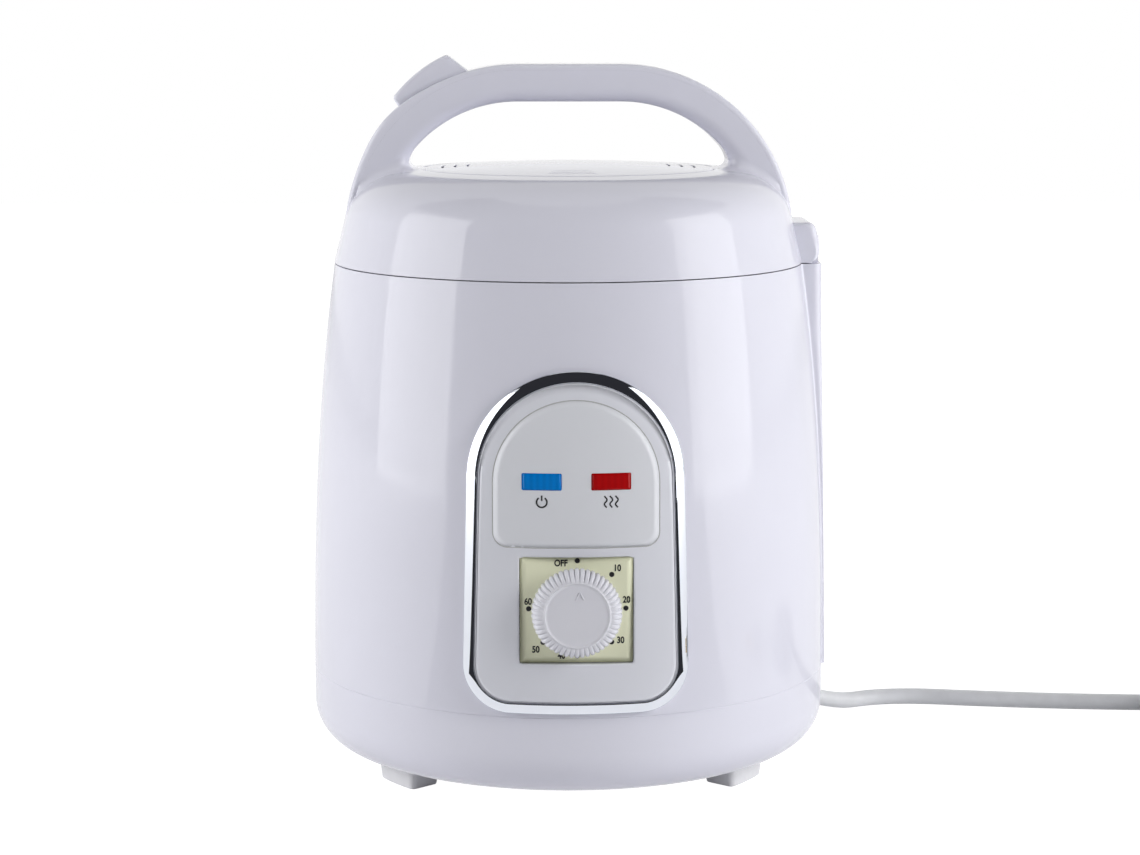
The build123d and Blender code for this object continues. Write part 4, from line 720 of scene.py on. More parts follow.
@dataclass
class TrayMoulding:
    """The tray that closes the body below, with its rounded edge, and the four feet."""

    bottom: float = 8.0
    corner: Tuple[float, float] = (15.6, 16.0)
    wall: float = 2.5
    slot_count: int = 8
    slot_rows: Tuple[float, float] = (28.0, 48.0)
    slot_half: float = 1.5
    slot_ceiling: float = 12.0  # slots are cut in the floor, below this height
    foot_ring: Tuple[float, float] = (64.3, 78.3)
    foot_azimuth: float = 34.0
    foot_span: float = 17.4
    foot_round: float = 2.6
    foot_draft: float = 0.8
    foot_edge: float = 0.7  # rounding of the sole
    feet: Dict[str, Tuple[int, int]] = field(
        default_factory=lambda: {
            "foot_front_left": (-1, -1),
            "foot_front_right": (1, -1),
            "foot_rear_left": (-1, 1),
            "foot_rear_right": (1, 1),
        }
    )

    def profile(self, inset: float) -> np.ndarray:
        """Radius and height from the middle of the floor out to the seam: flat, quarter ellipse, upright."""
        wide, tall = self.corner[0] - inset, self.corner[1] - inset
        turn = np.linspace(-pi / 2, 0, 24)
        centre = (BARREL.radius - self.corner[0], self.bottom + self.corner[1])
        bend = np.stack([centre[0] + wide * np.cos(turn), centre[1] + tall * np.sin(turn)], axis=1)
        floor = self.bottom + inset
        inner, outer = self.slot_rows
        flat = [(radius, floor) for radius in (0.0, 8.0, 18.0, inner, (inner + outer) / 2, outer, 60.0, 70.0)]
        side = [(BARREL.radius - inset, z) for z in (28.0, 32.0, BARREL.low)]
        return np.concatenate([flat, bend, side])

    def tray(self) -> Skin:
        """The wall between the outer and the inner profile turned about Z, with radial cooling slots.

        Near a slot the columns stay parallel: their angle from the slot's middle is asin(distance / radius).
        """
        per_slot, cut = 18, 2  # columns for each slot, and how many of their cells it takes
        columns = self.slot_count * per_slot
        step = 2 * pi / self.slot_count
        place = np.arange(columns) % per_slot
        middle = (np.arange(columns) // per_slot) * step
        grids = []
        for inset in (0.0, self.wall):
            profile = self.profile(inset)
            radius, height = profile[:, 0, None], profile[:, 1, None]
            reach = np.arcsin(self.slot_half / np.clip(radius, self.slot_rows[0], self.slot_rows[1]))
            rest = (place - cut) / (per_slot - cut)
            beside = middle + reach + rest * (step - 2 * reach)
            angle = np.where(place <= cut, middle + (place - 1) * reach, beside)
            grids.append(polar(radius, angle, height))
        radius = self.profile(0.0)[:, 0]
        between = (radius[:-1] + radius[1:]) / 2
        in_floor = self.profile(0.0)[:-1, 1] < self.slot_ceiling
        in_rows = (between > self.slot_rows[0]) & (between < self.slot_rows[1]) & in_floor
        keep = ~(in_rows[:, None] & (place < cut)[None, :])
        return wall(grids[0], grids[1], keep)

    def foot(self, side: Tuple[int, int]) -> Skin:
        """A rubber block cut from a ring, drafted and rounded at its sole.

        A rounded rectangle is bent round the ring: angle = azimuth + length / the ring's middle radius.
        """
        inner, outer = self.foot_ring
        middle = (inner + outer) / 2
        length = radians(self.foot_span) * middle
        place = radians(self.foot_azimuth)
        azimuth = np.arctan2(side[1] * sin(place), side[0] * cos(place))
        outline = box_loop(length, outer - inner, self.foot_round)
        rows = [(inset + self.foot_draft, drop) for inset, drop in quarter(self.foot_edge)][::-1]
        rows += [(self.foot_draft * (1 - z / self.bottom), z) for z in (2.0, 4.0, 6.0, 9.0)]
        sections = []
        for inset, z in rows:
            loop = outline(inset)
            sections.append(polar(middle + loop[:, 1], azimuth + loop[:, 0] / middle, z))
        return prism(sections)

    def build(self) -> None:
        """Makes the tray and the feet."""
        piece = add_piece("base_moulding", [self.tray()])
        soften(piece, 0.45, 3)
        settle(piece, Body.BASE, "white_plastic", ["base_tray"])
        for name, side in self.feet.items():
            foot = add_piece(name.replace("foot", "rubber_foot"), [self.foot(side)])
            settle(foot, Body.BASE, "foot_rubber", [name])


# ---------------------------------------------------------------- control panel
@dataclass(frozen=True)
class Arch:
    """An arched outline: sides that lean in, a half-round top and two rounded lower corners."""

    half_foot: float
    half_top: float
    bottom: float
    top: float
    corner: float

    def loop(self, inset: float) -> np.ndarray:
        """The outline inside an inset, anticlockwise from the middle of its foot."""
        foot, half = self.half_foot - inset, self.half_top - inset
        low, shoulder = self.bottom + inset, self.top - self.half_top
        corners = np.array([(-foot, low), (foot, low), (half, shoulder), (-half, shoulder)])
        radius = max(self.corner - inset, LEAST_RADIUS)
        rounded = round_corners(corners, [radius, radius, 0.1, 0.1], 14).reshape(4, 14, 2)
        left, right = rounded[0], rounded[1]
        crown = arc((0, shoulder), half, 0, 180, 56)
        up = run(right[-1], crown[0], 14)
        down = run(crown[-1], left[0], 14)
        foot_run = run(left[-1], right[0], 13)
        return np.concatenate([foot_run[6:], right, up, crown, down, left, foot_run[:6]])


@dataclass
class ControlPanel:
    """Curved panel in a chrome frame, with a label, two lenses and the timer's dial."""

    frame: Arch = Arch(39.2, 37.4, 39.1, 156.8, 16.0)
    frame_width: float = 3.8
    frame_crest: float = 2.6
    frame_roll: float = 0.45  # width of the rolled inner edge
    frame_tilt: Tuple[float, float, float] = (31.0, 5.0, -60.0)  # at the outer edge, the roll and its end
    seat: float = -0.6  # the frame's and the panel's feet, below the barrel's face
    panel_proud: float = 2.75
    panel_edge: float = 0.5
    label: Arch = Arch(28.5, 28.5, 97.0, 147.2, 5.0)
    label_lift: float = 0.06
    lens_size: Tuple[float, float] = (13.6, 5.8)
    lens_x: float = 11.8
    lens_z: float = 119.6
    dial_centre: float = 75.3
    dial_size: Tuple[float, float] = (39.0, 37.0)
    dial_face: float = 94.6

    def chrome_section(self) -> np.ndarray:
        """Inset and height round the frame's section: foot, arched face, rolled inner edge.

        Both arcs' tilt falls from an outer to an inner one, so each radius is the arc's width over the
        difference of the sines of its tilts. The point of tilt t is the centre + radius (-sin t, cos t).
        """
        steep, flat, over = (radians(tilt) for tilt in self.frame_tilt)
        face = self.frame_width - self.frame_roll
        radius = face / (sin(steep) - sin(flat))
        bow = arc((face + radius * sin(flat), self.frame_crest - radius * cos(flat)), radius,
                  90 + self.frame_tilt[0], 90 + self.frame_tilt[1], 14)
        small = self.frame_roll / (sin(flat) - sin(over))
        roll = arc((face + small * sin(flat), self.frame_crest - small * cos(flat)), small,
                   90 + self.frame_tilt[1], 90 + self.frame_tilt[2], 8)
        return np.concatenate([[(0.0, self.seat)], bow, roll[1:], [(roll[-1][0] + 0.02, self.seat)]])

    def lifted(self, rows: Sequence[Tuple[np.ndarray, float]]) -> Skin:
        """A closed band whose rings are outlines at heights above the barrel's face."""
        grid = [BARREL.lift(loop[:, 0], loop[:, 1], height) for loop, height in rows]
        return tube(np.stack(grid), ring_rows=True)

    def chrome(self) -> Skin:
        """The frame: its section carried round the arched outline on the barrel."""
        return self.lifted([(self.frame.loop(inset), height) for inset, height in self.chrome_section()])

    def window(self, grow: float) -> np.ndarray:
        """The dial's window, larger by a growth, with points that face the frame's own points.

        Each point is where the ray from the dial's middle to a point of the frame's outline leaves the
        rectangle: the nearer of the two crossings, with its corners rounded by a high power mean.
        """
        aim = self.frame.loop(self.frame_width) - np.array([0, self.dial_centre])
        aim = aim / np.linalg.norm(aim, axis=1, keepdims=True)
        half = np.array(self.dial_size) / 2 + grow
        reach = (np.abs(aim / half) ** 60).sum(axis=1) ** (-1 / 60)
        return aim * reach[:, None] + np.array([0, self.dial_centre])

    def panel(self) -> Skin:
        """The panel: rings that blend from the dial's window to the frame, with both edges rounded."""
        edge, face = self.panel_edge, self.panel_proud
        rows = [(self.window(0), -2.2), (self.window(0), face - 0.5)]
        rows += [(self.window(inset), face - drop) for inset, drop in [(0.03, 0.3), (0.15, 0.12), (0.4, 0.0)]]
        inner, outer = self.window(0.4), self.frame.loop(self.frame_width + edge)
        rows += [(inner + (outer - inner) * share, face) for share in np.linspace(0, 1, 22)[1:-1]]
        for inset, drop in reversed(quarter(edge)):
            rows.append((self.frame.loop(self.frame_width + edge - inset), face - edge + drop))
        rows.append((self.frame.loop(self.frame_width), self.seat))
        return self.lifted(rows)

    def ring_line(self, arch: Arch, width: float, height: float) -> Skin:
        """A thin flat band along an arch, on the panel's face; with a dark finish it is the painted shade of
        a groove.
        """
        section = [(-width, 0.0), (-width, height), (width, height), (width, 0.0)]
        return self.lifted([(arch.loop(inset), self.panel_proud + lift) for inset, lift in section])

    def on_panel(self, x: np.ndarray, z: np.ndarray, height: float) -> np.ndarray:
        """Places points at a height above the panel's face."""
        return BARREL.lift(x, z, self.panel_proud + height)

    def on_dial(self, x: np.ndarray, z: np.ndarray, height: float) -> np.ndarray:
        """Places points at a height above the dial's flat face."""
        return np.stack([x, np.full_like(x, -self.dial_face - height), z], axis=-1)

    def build(self) -> None:
        """Makes the frame, panel, label, lenses and dial."""
        settle(add_piece("chrome_frame", [self.chrome()]), Body.BASE, "chrome_trim", ["panel_trim"])
        settle(add_piece("panel_face", [self.panel()]), Body.BASE, "grey_plastic", ["front_panel"])
        plate = pad(self.label.loop, self.on_panel, -0.7, self.label_lift, 0.05, 12)
        settle(add_piece("label_film", [plate]), Body.BASE, "label_film", ["label_plate"])
        # Painted shade: a dark flat band just outside the label's edge stands for the shade in the fine
        # groove round the label
        line = self.ring_line(self.label, 0.15, 0.03)
        settle(add_piece("label_groove_shade", [line]), Body.BASE, "label_film", look="seam_shade")
        for name, side in (("blue_lens", -1), ("red_lens", 1)):
            loop = box_loop(*self.lens_size, 0.5, (side * self.lens_x, self.lens_z))
            lens = pad(loop, self.on_panel, -2.6, self.label_lift + 0.12, 0.1, 6)
            settle(add_piece(name + "_cap", [lens]), Body.BASE, name, [name])
        plate = pad(box_loop(38.6, 36.6, 0.6, (0, self.dial_centre)), self.on_dial, -1.2, 0.0, 0.15, 8)
        settle(add_piece("dial_face", [plate]), Body.BASE, "dial_plastic", ["dial_plate"])


@dataclass
class Markings:
    """Printed marks: the dial's dots and numbers and two plain symbols under the lenses."""

    panel: ControlPanel
    dot_ring: float = 16.6
    dot_shift: Tuple[float, float] = (0.3, 0.5)
    dot_radius: float = 0.9
    text_size: float = 3.15
    text_width: float = 0.82
    text_swell: float = 0.1  # added round every letter
    ink: float = 0.05
    sign_drop: float = 6.9  # from the lenses' middle to the signs' middle
    sign_line: Tuple[float, float] = (0.55, 0.5)  # line widths of the two signs
    numbers: Tuple[Tuple[str, float, float], ...] = (
        ("OFF", -5.3, 16.2), ("10", 13.9, 14.4), ("20", 17.1, 3.4), ("30", 15.1, -10.7),
        ("40", -5.1, -16.0), ("50", -13.9, -13.8), ("60", -16.5, 2.9),
    )

    def dots(self) -> List[Skin]:
        """A dot every eighth of a turn on the dial, except the one that the scale leaves out."""
        skins = []
        for eighth in range(7):
            angle = radians(90 - 45 * eighth)
            across = self.dot_shift[0] + self.dot_ring * cos(angle)
            up = self.dot_shift[1] + self.dot_ring * sin(angle)
            centre = (across, self.panel.dial_centre + up)
            skins.append(self.blot(centre, self.dot_radius, self.panel.on_dial))
        return skins

    def blot(self, centre: Tuple[float, float], radius: float, place: Place) -> Skin:
        """A round spot of ink."""

        def loop(inset: float) -> np.ndarray:
            """The spot's circle inside an inset."""
            return arc(centre, radius - inset, 0, 345, 24)

        return pad(loop, place, 0.0, self.ink, 0.01, 2)

    def stroke(self, path: np.ndarray, width: float, place: Place, height: float) -> Skin:
        """A band of ink along a path: the path offset to both sides by half the width."""
        along = np.gradient(path, axis=0)
        along = along / np.linalg.norm(along, axis=1, keepdims=True)
        across = np.stack([-along[:, 1], along[:, 0]], axis=1) * width / 2
        left, right, top = path + across, path - across, height + self.ink
        levels = [(left, height), (left, top), (right, top), (right, height)]
        rings = np.stack([place(side[:, 0], side[:, 1], level) for side, level in levels])
        return prism(list(np.swapaxes(rings, 0, 1)))

    def lettering(self) -> bpy.types.Object:
        """The dial's numbers as one flat mesh, as thick as the ink."""
        meshes = []
        for text, x, z in self.numbers:
            number = bpy.data.curves.new("number", "FONT")
            number.body = text
            number.size = self.text_size * MM
            number.align_x = "CENTER"
            number.align_y = "CENTER"
            number.extrude = self.ink / 2 * MM
            number.offset = self.text_swell * MM
            piece = place_in_scene("number", number)
            bpy.context.view_layer.update()
            mesh = bpy.data.meshes.new_from_object(piece)
            bpy.data.objects.remove(piece)
            place = (x * MM, -(self.panel.dial_face + self.ink / 2) * MM, (self.panel.dial_centre + z) * MM)
            narrow = Matrix.Diagonal((self.text_width, 1, 1, 1))
            mesh.transform(Matrix.Translation(place) @ Matrix.Rotation(pi / 2, 4, "X") @ narrow)
            meshes.append(mesh)
        merged = bmesh.new()
        for mesh in meshes:
            merged.from_mesh(mesh)
        bmesh.ops.remove_doubles(merged, verts=merged.verts, dist=WELD)
        bmesh.ops.recalc_face_normals(merged, faces=merged.faces)
        result = bpy.data.meshes.new("dial_numbers")
        merged.to_mesh(result)
        merged.free()
        result.materials.clear()
        return place_in_scene("dial_numbers", result)

    def symbols(self) -> List[Skin]:
        """A ring with a bar under one lens and three rising vapour lines under the other."""
        height = self.panel.label_lift
        place = self.panel.on_panel
        x, z = self.panel.lens_x, self.panel.lens_z - self.sign_drop
        bar = np.stack([np.full(6, -x), np.linspace(z + 0.4, z + 2.3, 6)], axis=1)
        ring = arc((-x, z), 1.75, 125, 415, 30)
        skins = [self.stroke(path, self.sign_line[0], place, height) for path in (ring, bar)]
        rise = np.linspace(-1.9, 2.1, 24)
        for shift in (-1.9, 0.0, 1.9):
            wave = x + shift + 0.45 * np.sin(rise * 2.1)
            skins.append(self.stroke(np.stack([wave, z + rise], axis=1), self.sign_line[1], place, height))
        return skins

    def build(self) -> None:
        """Makes the ink pieces."""
        settle(add_piece("dial_dots", self.dots()), Body.BASE, "dial_plastic", look="print_ink")
        settle(self.lettering(), Body.BASE, "dial_plastic", look="print_ink")
        settle(add_piece("label_symbols", self.symbols()), Body.BASE, "label_film", look="print_ink")


@dataclass
class TimerKnob:
    """The fluted timer knob with its flat face and pointer."""

    centre: float = 75.3
    back: float = 95.0
    depth: float = 9.6
    rim: float = 4.2
    rim_radius: float = 15.5
    back_radius: float = 13.6
    face_radius: float = 10.9
    face_rim: float = 0.35
    flutes: int = 50
    flute_depth: float = 0.75
    pointer_tip: Tuple[float, float] = (0.9, 8.1)  # across and up from the knob's middle
    pointer_arm: Tuple[float, float] = (1.4, -2.6)  # from the tip to an arm's end
    pointer_line: float = 0.2  # half width of an arm
    pointer_levels: Tuple[float, float] = (0.38, 0.08)  # an arm's back and face, behind the knob's rim

    def profile(self) -> Tuple[np.ndarray, np.ndarray]:
        """Radius and height from the back's middle by the rim to the face's middle, and the flutes' share."""
        back = [(radius, 0.0) for radius in (0.0, 5.0, 10.0, 12.8)]
        heel = [(self.back_radius - 0.2, 0.1), (self.back_radius, 0.5)]
        skirt = [(13.9, 1.4), (14.5, 2.5), (15.1, 3.5), (15.4, 3.95), (self.rim_radius, self.rim)]
        turn = np.linspace(0, pi / 2, 14)[1:]
        start = self.face_radius + self.face_rim
        flank = np.stack([start + (self.rim_radius - start) * np.cos(turn) ** 0.85,
                          self.rim + (self.depth - self.rim - 0.1) * np.sin(turn) ** 0.9], axis=1)
        high = self.depth
        rim = [(start, high - 0.04), (start - 0.06, high), (self.face_radius + 0.1, high),
               (self.face_radius, high - 0.1), (self.face_radius - 0.1, high - 0.28)]
        face = [(radius, high - 0.3) for radius in (10.0, 8.0, 6.0, 3.0, 0.0)]
        profile = np.concatenate([back, heel, skirt, flank, rim, face])
        share = np.zeros(len(profile))
        first = len(back) + len(heel)
        share[first:first + len(skirt)] = np.linspace(0.3, 1, len(skirt))
        share[first + len(skirt):first + len(skirt) + len(flank)] = np.minimum(1, np.cos(turn) * 2.2 + 0.05)
        return profile, share

    def knob(self) -> Skin:
        """The knob: its profile turned, less share x depth x (1 - |sin(n a / 2)|)^2 for n flutes."""
        profile, share = self.profile()
        angle = np.linspace(0, 2 * pi, self.flutes * 10, endpoint=False)[None, :]
        groove = (1 - np.abs(np.sin(angle * self.flutes / 2))) ** 2
        radius = profile[:, 0, None] - share[:, None] * self.flute_depth * groove
        height = profile[:, 1, None] - 0.35 * share[:, None] * groove
        points = [radius * np.cos(angle), -self.back - height, self.centre + radius * np.sin(angle)]
        return tube(np.stack(points, axis=-1), ring_rows=True)

    def mark(self) -> List[Skin]:
        """The small raised pointer: two strokes that meet towards the rim."""
        tip = np.array([self.pointer_tip[0], self.centre + self.pointer_tip[1]])
        back, face = (level - self.back - self.depth for level in self.pointer_levels)
        wide, thin = self.pointer_line, self.pointer_line / 4
        skins = []
        for side in (-1, 1):
            arm = np.array([side * self.pointer_arm[0], self.pointer_arm[1]])
            rows = []
            for share, half in ((0, thin), (0.1, wide), (0.5, wide), (0.9, wide), (1, thin)):
                x, z = tip + arm * share
                corners = [(x - half, back), (x - half, face), (x + half, face), (x + half, back)]
                rows.append([(across, level, z) for across, level in corners])
            skins.append(prism(list(np.array(rows))))
        return skins

    def build(self) -> None:
        """Makes the knob and its pointer."""
        settle(add_piece("dial_knob", [self.knob()]), Body.KNOB, "knob_plastic", ["timer_knob"])
        settle(add_piece("knob_pointer", self.mark()), Body.KNOB, "knob_plastic")


# ---------------------------------------------------------------- lid
@dataclass(frozen=True)
class LidForm:
    """The lid's outside: a side that leans in, a round shoulder and a low dome."""

    foot: float = 186.5
    rim: float = 85.9
    lean: float = radians(13.4)
    height: float = 35.6
    shoulder: float = 21.0
    dome: float = 810.0

    def dome_centre(self) -> float:
        """Height of the dome's centre above the foot."""
        return self.height - self.dome

    def shoulder_centre(self) -> Tuple[float, float]:
        """Radius and height above the foot of the shoulder's centre.

        It lies one shoulder radius inside the side's line, and dome - shoulder from the dome's centre: the
        upper root of the quadratic in height that the two give.
        """
        slope = tan(self.lean)
        start = self.rim - self.shoulder / cos(self.lean)
        drop = self.dome_centre()
        a = 1 + slope**2
        b = -2 * start * slope - 2 * drop
        c = start**2 + drop**2 - (self.dome - self.shoulder) ** 2
        height = (-b + sqrt(b * b - 4 * a * c)) / (2 * a)
        return start - slope * height, height

    def profile(self, inset: float, end: float, steps: int = 20) -> np.ndarray:
        """Radius and height from the foot up to a radius on the dome, inside an inset."""
        radius, height = self.shoulder_centre()
        turn = self.shoulder - inset
        top = pi / 2 - atan(radius / (height - self.dome_centre()))
        bend = arc((radius, height), turn, np.degrees(self.lean), np.degrees(top), steps)
        start = np.array([self.rim - inset / cos(self.lean), 0.0])
        side = np.concatenate([start[None], run(start, bend[0], 5)])
        across = np.linspace(bend[-1, 0], end, 8)[1:]
        crown = self.dome_centre() + np.sqrt((self.dome - inset) ** 2 - across**2)
        points = np.concatenate([side, bend, np.stack([across, crown], axis=1)])
        return points + np.array([0, self.foot])

    def distance(self, points: np.ndarray) -> np.ndarray:
        """How far points lie outside the lid: from the side's line, the shoulder's arc or the dome."""
        radius = np.hypot(points[..., 0], points[..., 1])
        height = points[..., 2] - self.foot
        centre_radius, centre_height = self.shoulder_centre()
        from_side = (radius - self.rim) * cos(self.lean) + height * sin(self.lean)
        from_arc = np.hypot(radius - centre_radius, height - centre_height) - self.shoulder
        from_dome = np.hypot(radius, height - self.dome_centre()) - self.dome
        above = height - centre_height - (radius - centre_radius) * tan(self.lean)
        beside = (radius - centre_radius) * (centre_height - self.dome_centre())
        beside = beside - (height - centre_height) * centre_radius
        on_dome = np.where(beside > 0, from_arc, from_dome)
        return np.where(above > 0, on_dome, from_side)


LID = LidForm()


@dataclass
class LidMoulding:
    """The lid's cap, its hinge block and the vent plate in its crown."""

    wall: float = 2.5
    vent_radius: float = 54.0
    vent_seat: float = 1.4
    vent_ledge: float = 4.0
    vent_gap: float = 0.25
    block_inner: float = 78.0
    block_reach: Tuple[float, float] = (91.3, 89.4)
    block_edge: float = 2.6
    crest_radius: float = 3.0
    crest_share: float = 0.5
    slot_top: float = 4.9
    heel_least: float = 1.7  # covers the pin
    block_height: float = 14.6
    block_half: float = 15.5
    slot_half: float = 9.4
    slot_reach: float = 4.9
    heel_start: float = 3.0  # where the heel's bend starts, in from the pin
    side_end: Tuple[float, float] = (0.35, 0.9)  # in from the reach and down from the slot's top
    slot_radii: Tuple[float, ...] = (37.0, 41.6, 46.2)
    slot_width: float = 0.8
    slot_length: float = 15.0

    def cap(self) -> Skin:
        """The cap: the outer profile, the vent's seat and the inner profile, turned about Z."""
        outer = LID.profile(0, self.vent_radius + self.vent_gap)
        edge = outer[-1]
        seat = [edge + (0, -self.vent_seat), edge + (-self.vent_ledge, -self.vent_seat),
                edge + (-self.vent_ledge, -self.wall)]
        inner = LID.profile(self.wall, self.vent_radius + self.vent_gap)[::-1]
        return turned(np.concatenate([outer, seat, inner]), 192)

    def crest(self, inset: float) -> np.ndarray:
        """The block's crest from its outer side to its top, and back to the foot within the cap."""
        top = LID.foot + self.block_height - inset * self.crest_share
        outline = np.array([
            (self.block_inner, LID.foot), (self.block_reach[0] - inset, HINGE_PIN[1]),
            (self.block_reach[1] - inset, top), (self.block_inner, top),
        ])
        bend = round_corners(outline, [0.1, 0.1, self.crest_radius, 0.1], 8).reshape(4, 8, 2)[2]
        return np.concatenate([bend, [(self.block_inner, top), (self.block_inner, LID.foot)]])

    def cheek(self, inset: float) -> np.ndarray:
        """The side outline beside the slot: round the heel about the pin and up the outer side."""
        x, z = HINGE_PIN
        turn = np.radians(np.linspace(-90, 0, 10))
        heel = max(self.block_reach[0] - x - inset, self.heel_least)
        bend = np.stack([x + heel * np.cos(turn), z + (z - LID.foot) * np.sin(turn)], axis=1)
        side = (self.block_reach[0] - inset - self.side_end[0], z + self.slot_top - self.side_end[1])
        return np.concatenate([self.crest(inset), [(x - self.heel_start, LID.foot)], bend, [side]])

    def slotted(self) -> np.ndarray:
        """The side outline within the slot for the knuckles: up the slot's back and out along its top.

        It has as many points as the cheek, so that the two outlines join point by point.
        """
        x, z = HINGE_PIN
        back = x - self.slot_reach
        top = z + self.slot_top
        path = [(back - 0.3, LID.foot), (back, LID.foot), (back, z), (back, z + 3), (back, top - 0.3),
                (back + 0.3, top), (back + 2, top), (x, top), (x + 2, top), (x + 3, top), (x + 3.3, top),
                (self.block_reach[0] - 0.9, top)]
        return np.concatenate([self.crest(0), path])

    def block(self) -> Skin:
        """The hinge block: outlines carried along Y, rounded at its outer sides, slotted in the middle."""
        half, slot, edge = self.block_half, self.slot_half, self.block_edge
        levels = [(inset, half - drop) for inset, drop in quarter(edge, 6)]
        levels.sort(key=lambda level: level[1])
        right = [(self.cheek(0), slot)] + [(self.cheek(inset), depth) for inset, depth in levels]
        left = [(outline, -depth) for outline, depth in reversed(right)]
        rows = left + [(self.slotted(), -slot), (self.slotted(), slot)] + right
        return prism([np.insert(loop, 1, y, axis=1) for loop, y in rows])

    def vent(self) -> Skin:
        """The vent plate: a domed disc on a grid of radius and angle, with cells left out for the slots."""
        cuts = np.array([(r - self.slot_width / 2, r + self.slot_width / 2) for r in self.slot_radii]).ravel()
        radii = np.concatenate([[0.0, 6, 12, 18, 24, 30], cuts, [50.0, 52.6, 53.4, 53.8]])
        half = self.slot_length / 2 / self.slot_radii[1]
        inside = np.linspace(-half, half, 9)[:-1]
        outside = np.linspace(half, pi / 2 - half, 19)[:-1]
        one_turn = np.concatenate([inside, outside])
        angle = np.concatenate([group * pi / 2 + one_turn for group in range(4)])
        in_slot = np.tile(np.concatenate([np.ones(8, bool), np.zeros(18, bool)]), 4)
        crown = LID.foot + LID.dome_centre() + np.sqrt(LID.dome**2 - radii**2)
        crown[-2:] -= (0.1, 0.4)
        grid = []
        for drop in (0.0, self.vent_seat - 0.05):
            z = (crown - drop) if drop == 0 else np.minimum(crown, crown[-3]) - drop
            grid.append(polar(radii[:, None], angle, z[:, None]))
        rows = np.isin(radii[:-1], cuts[::2])
        keep = ~(rows[:, None] & in_slot[None, :])
        return wall(grid[0], grid[1], keep)

    def build(self) -> None:
        """Makes the cap with its hinge block, and the vent plate."""
        cap = add_piece("lid_cap", [self.cap(), self.block()])
        soften(cap, 0.45, 3)
        settle(cap, Body.LID, "white_plastic", ["lid_shell"])
        vent = add_piece("steam_vent", [self.vent()])
        soften(vent, 0.25, 2)
        settle(vent, Body.LID, "white_plastic", ["vent_plate"])


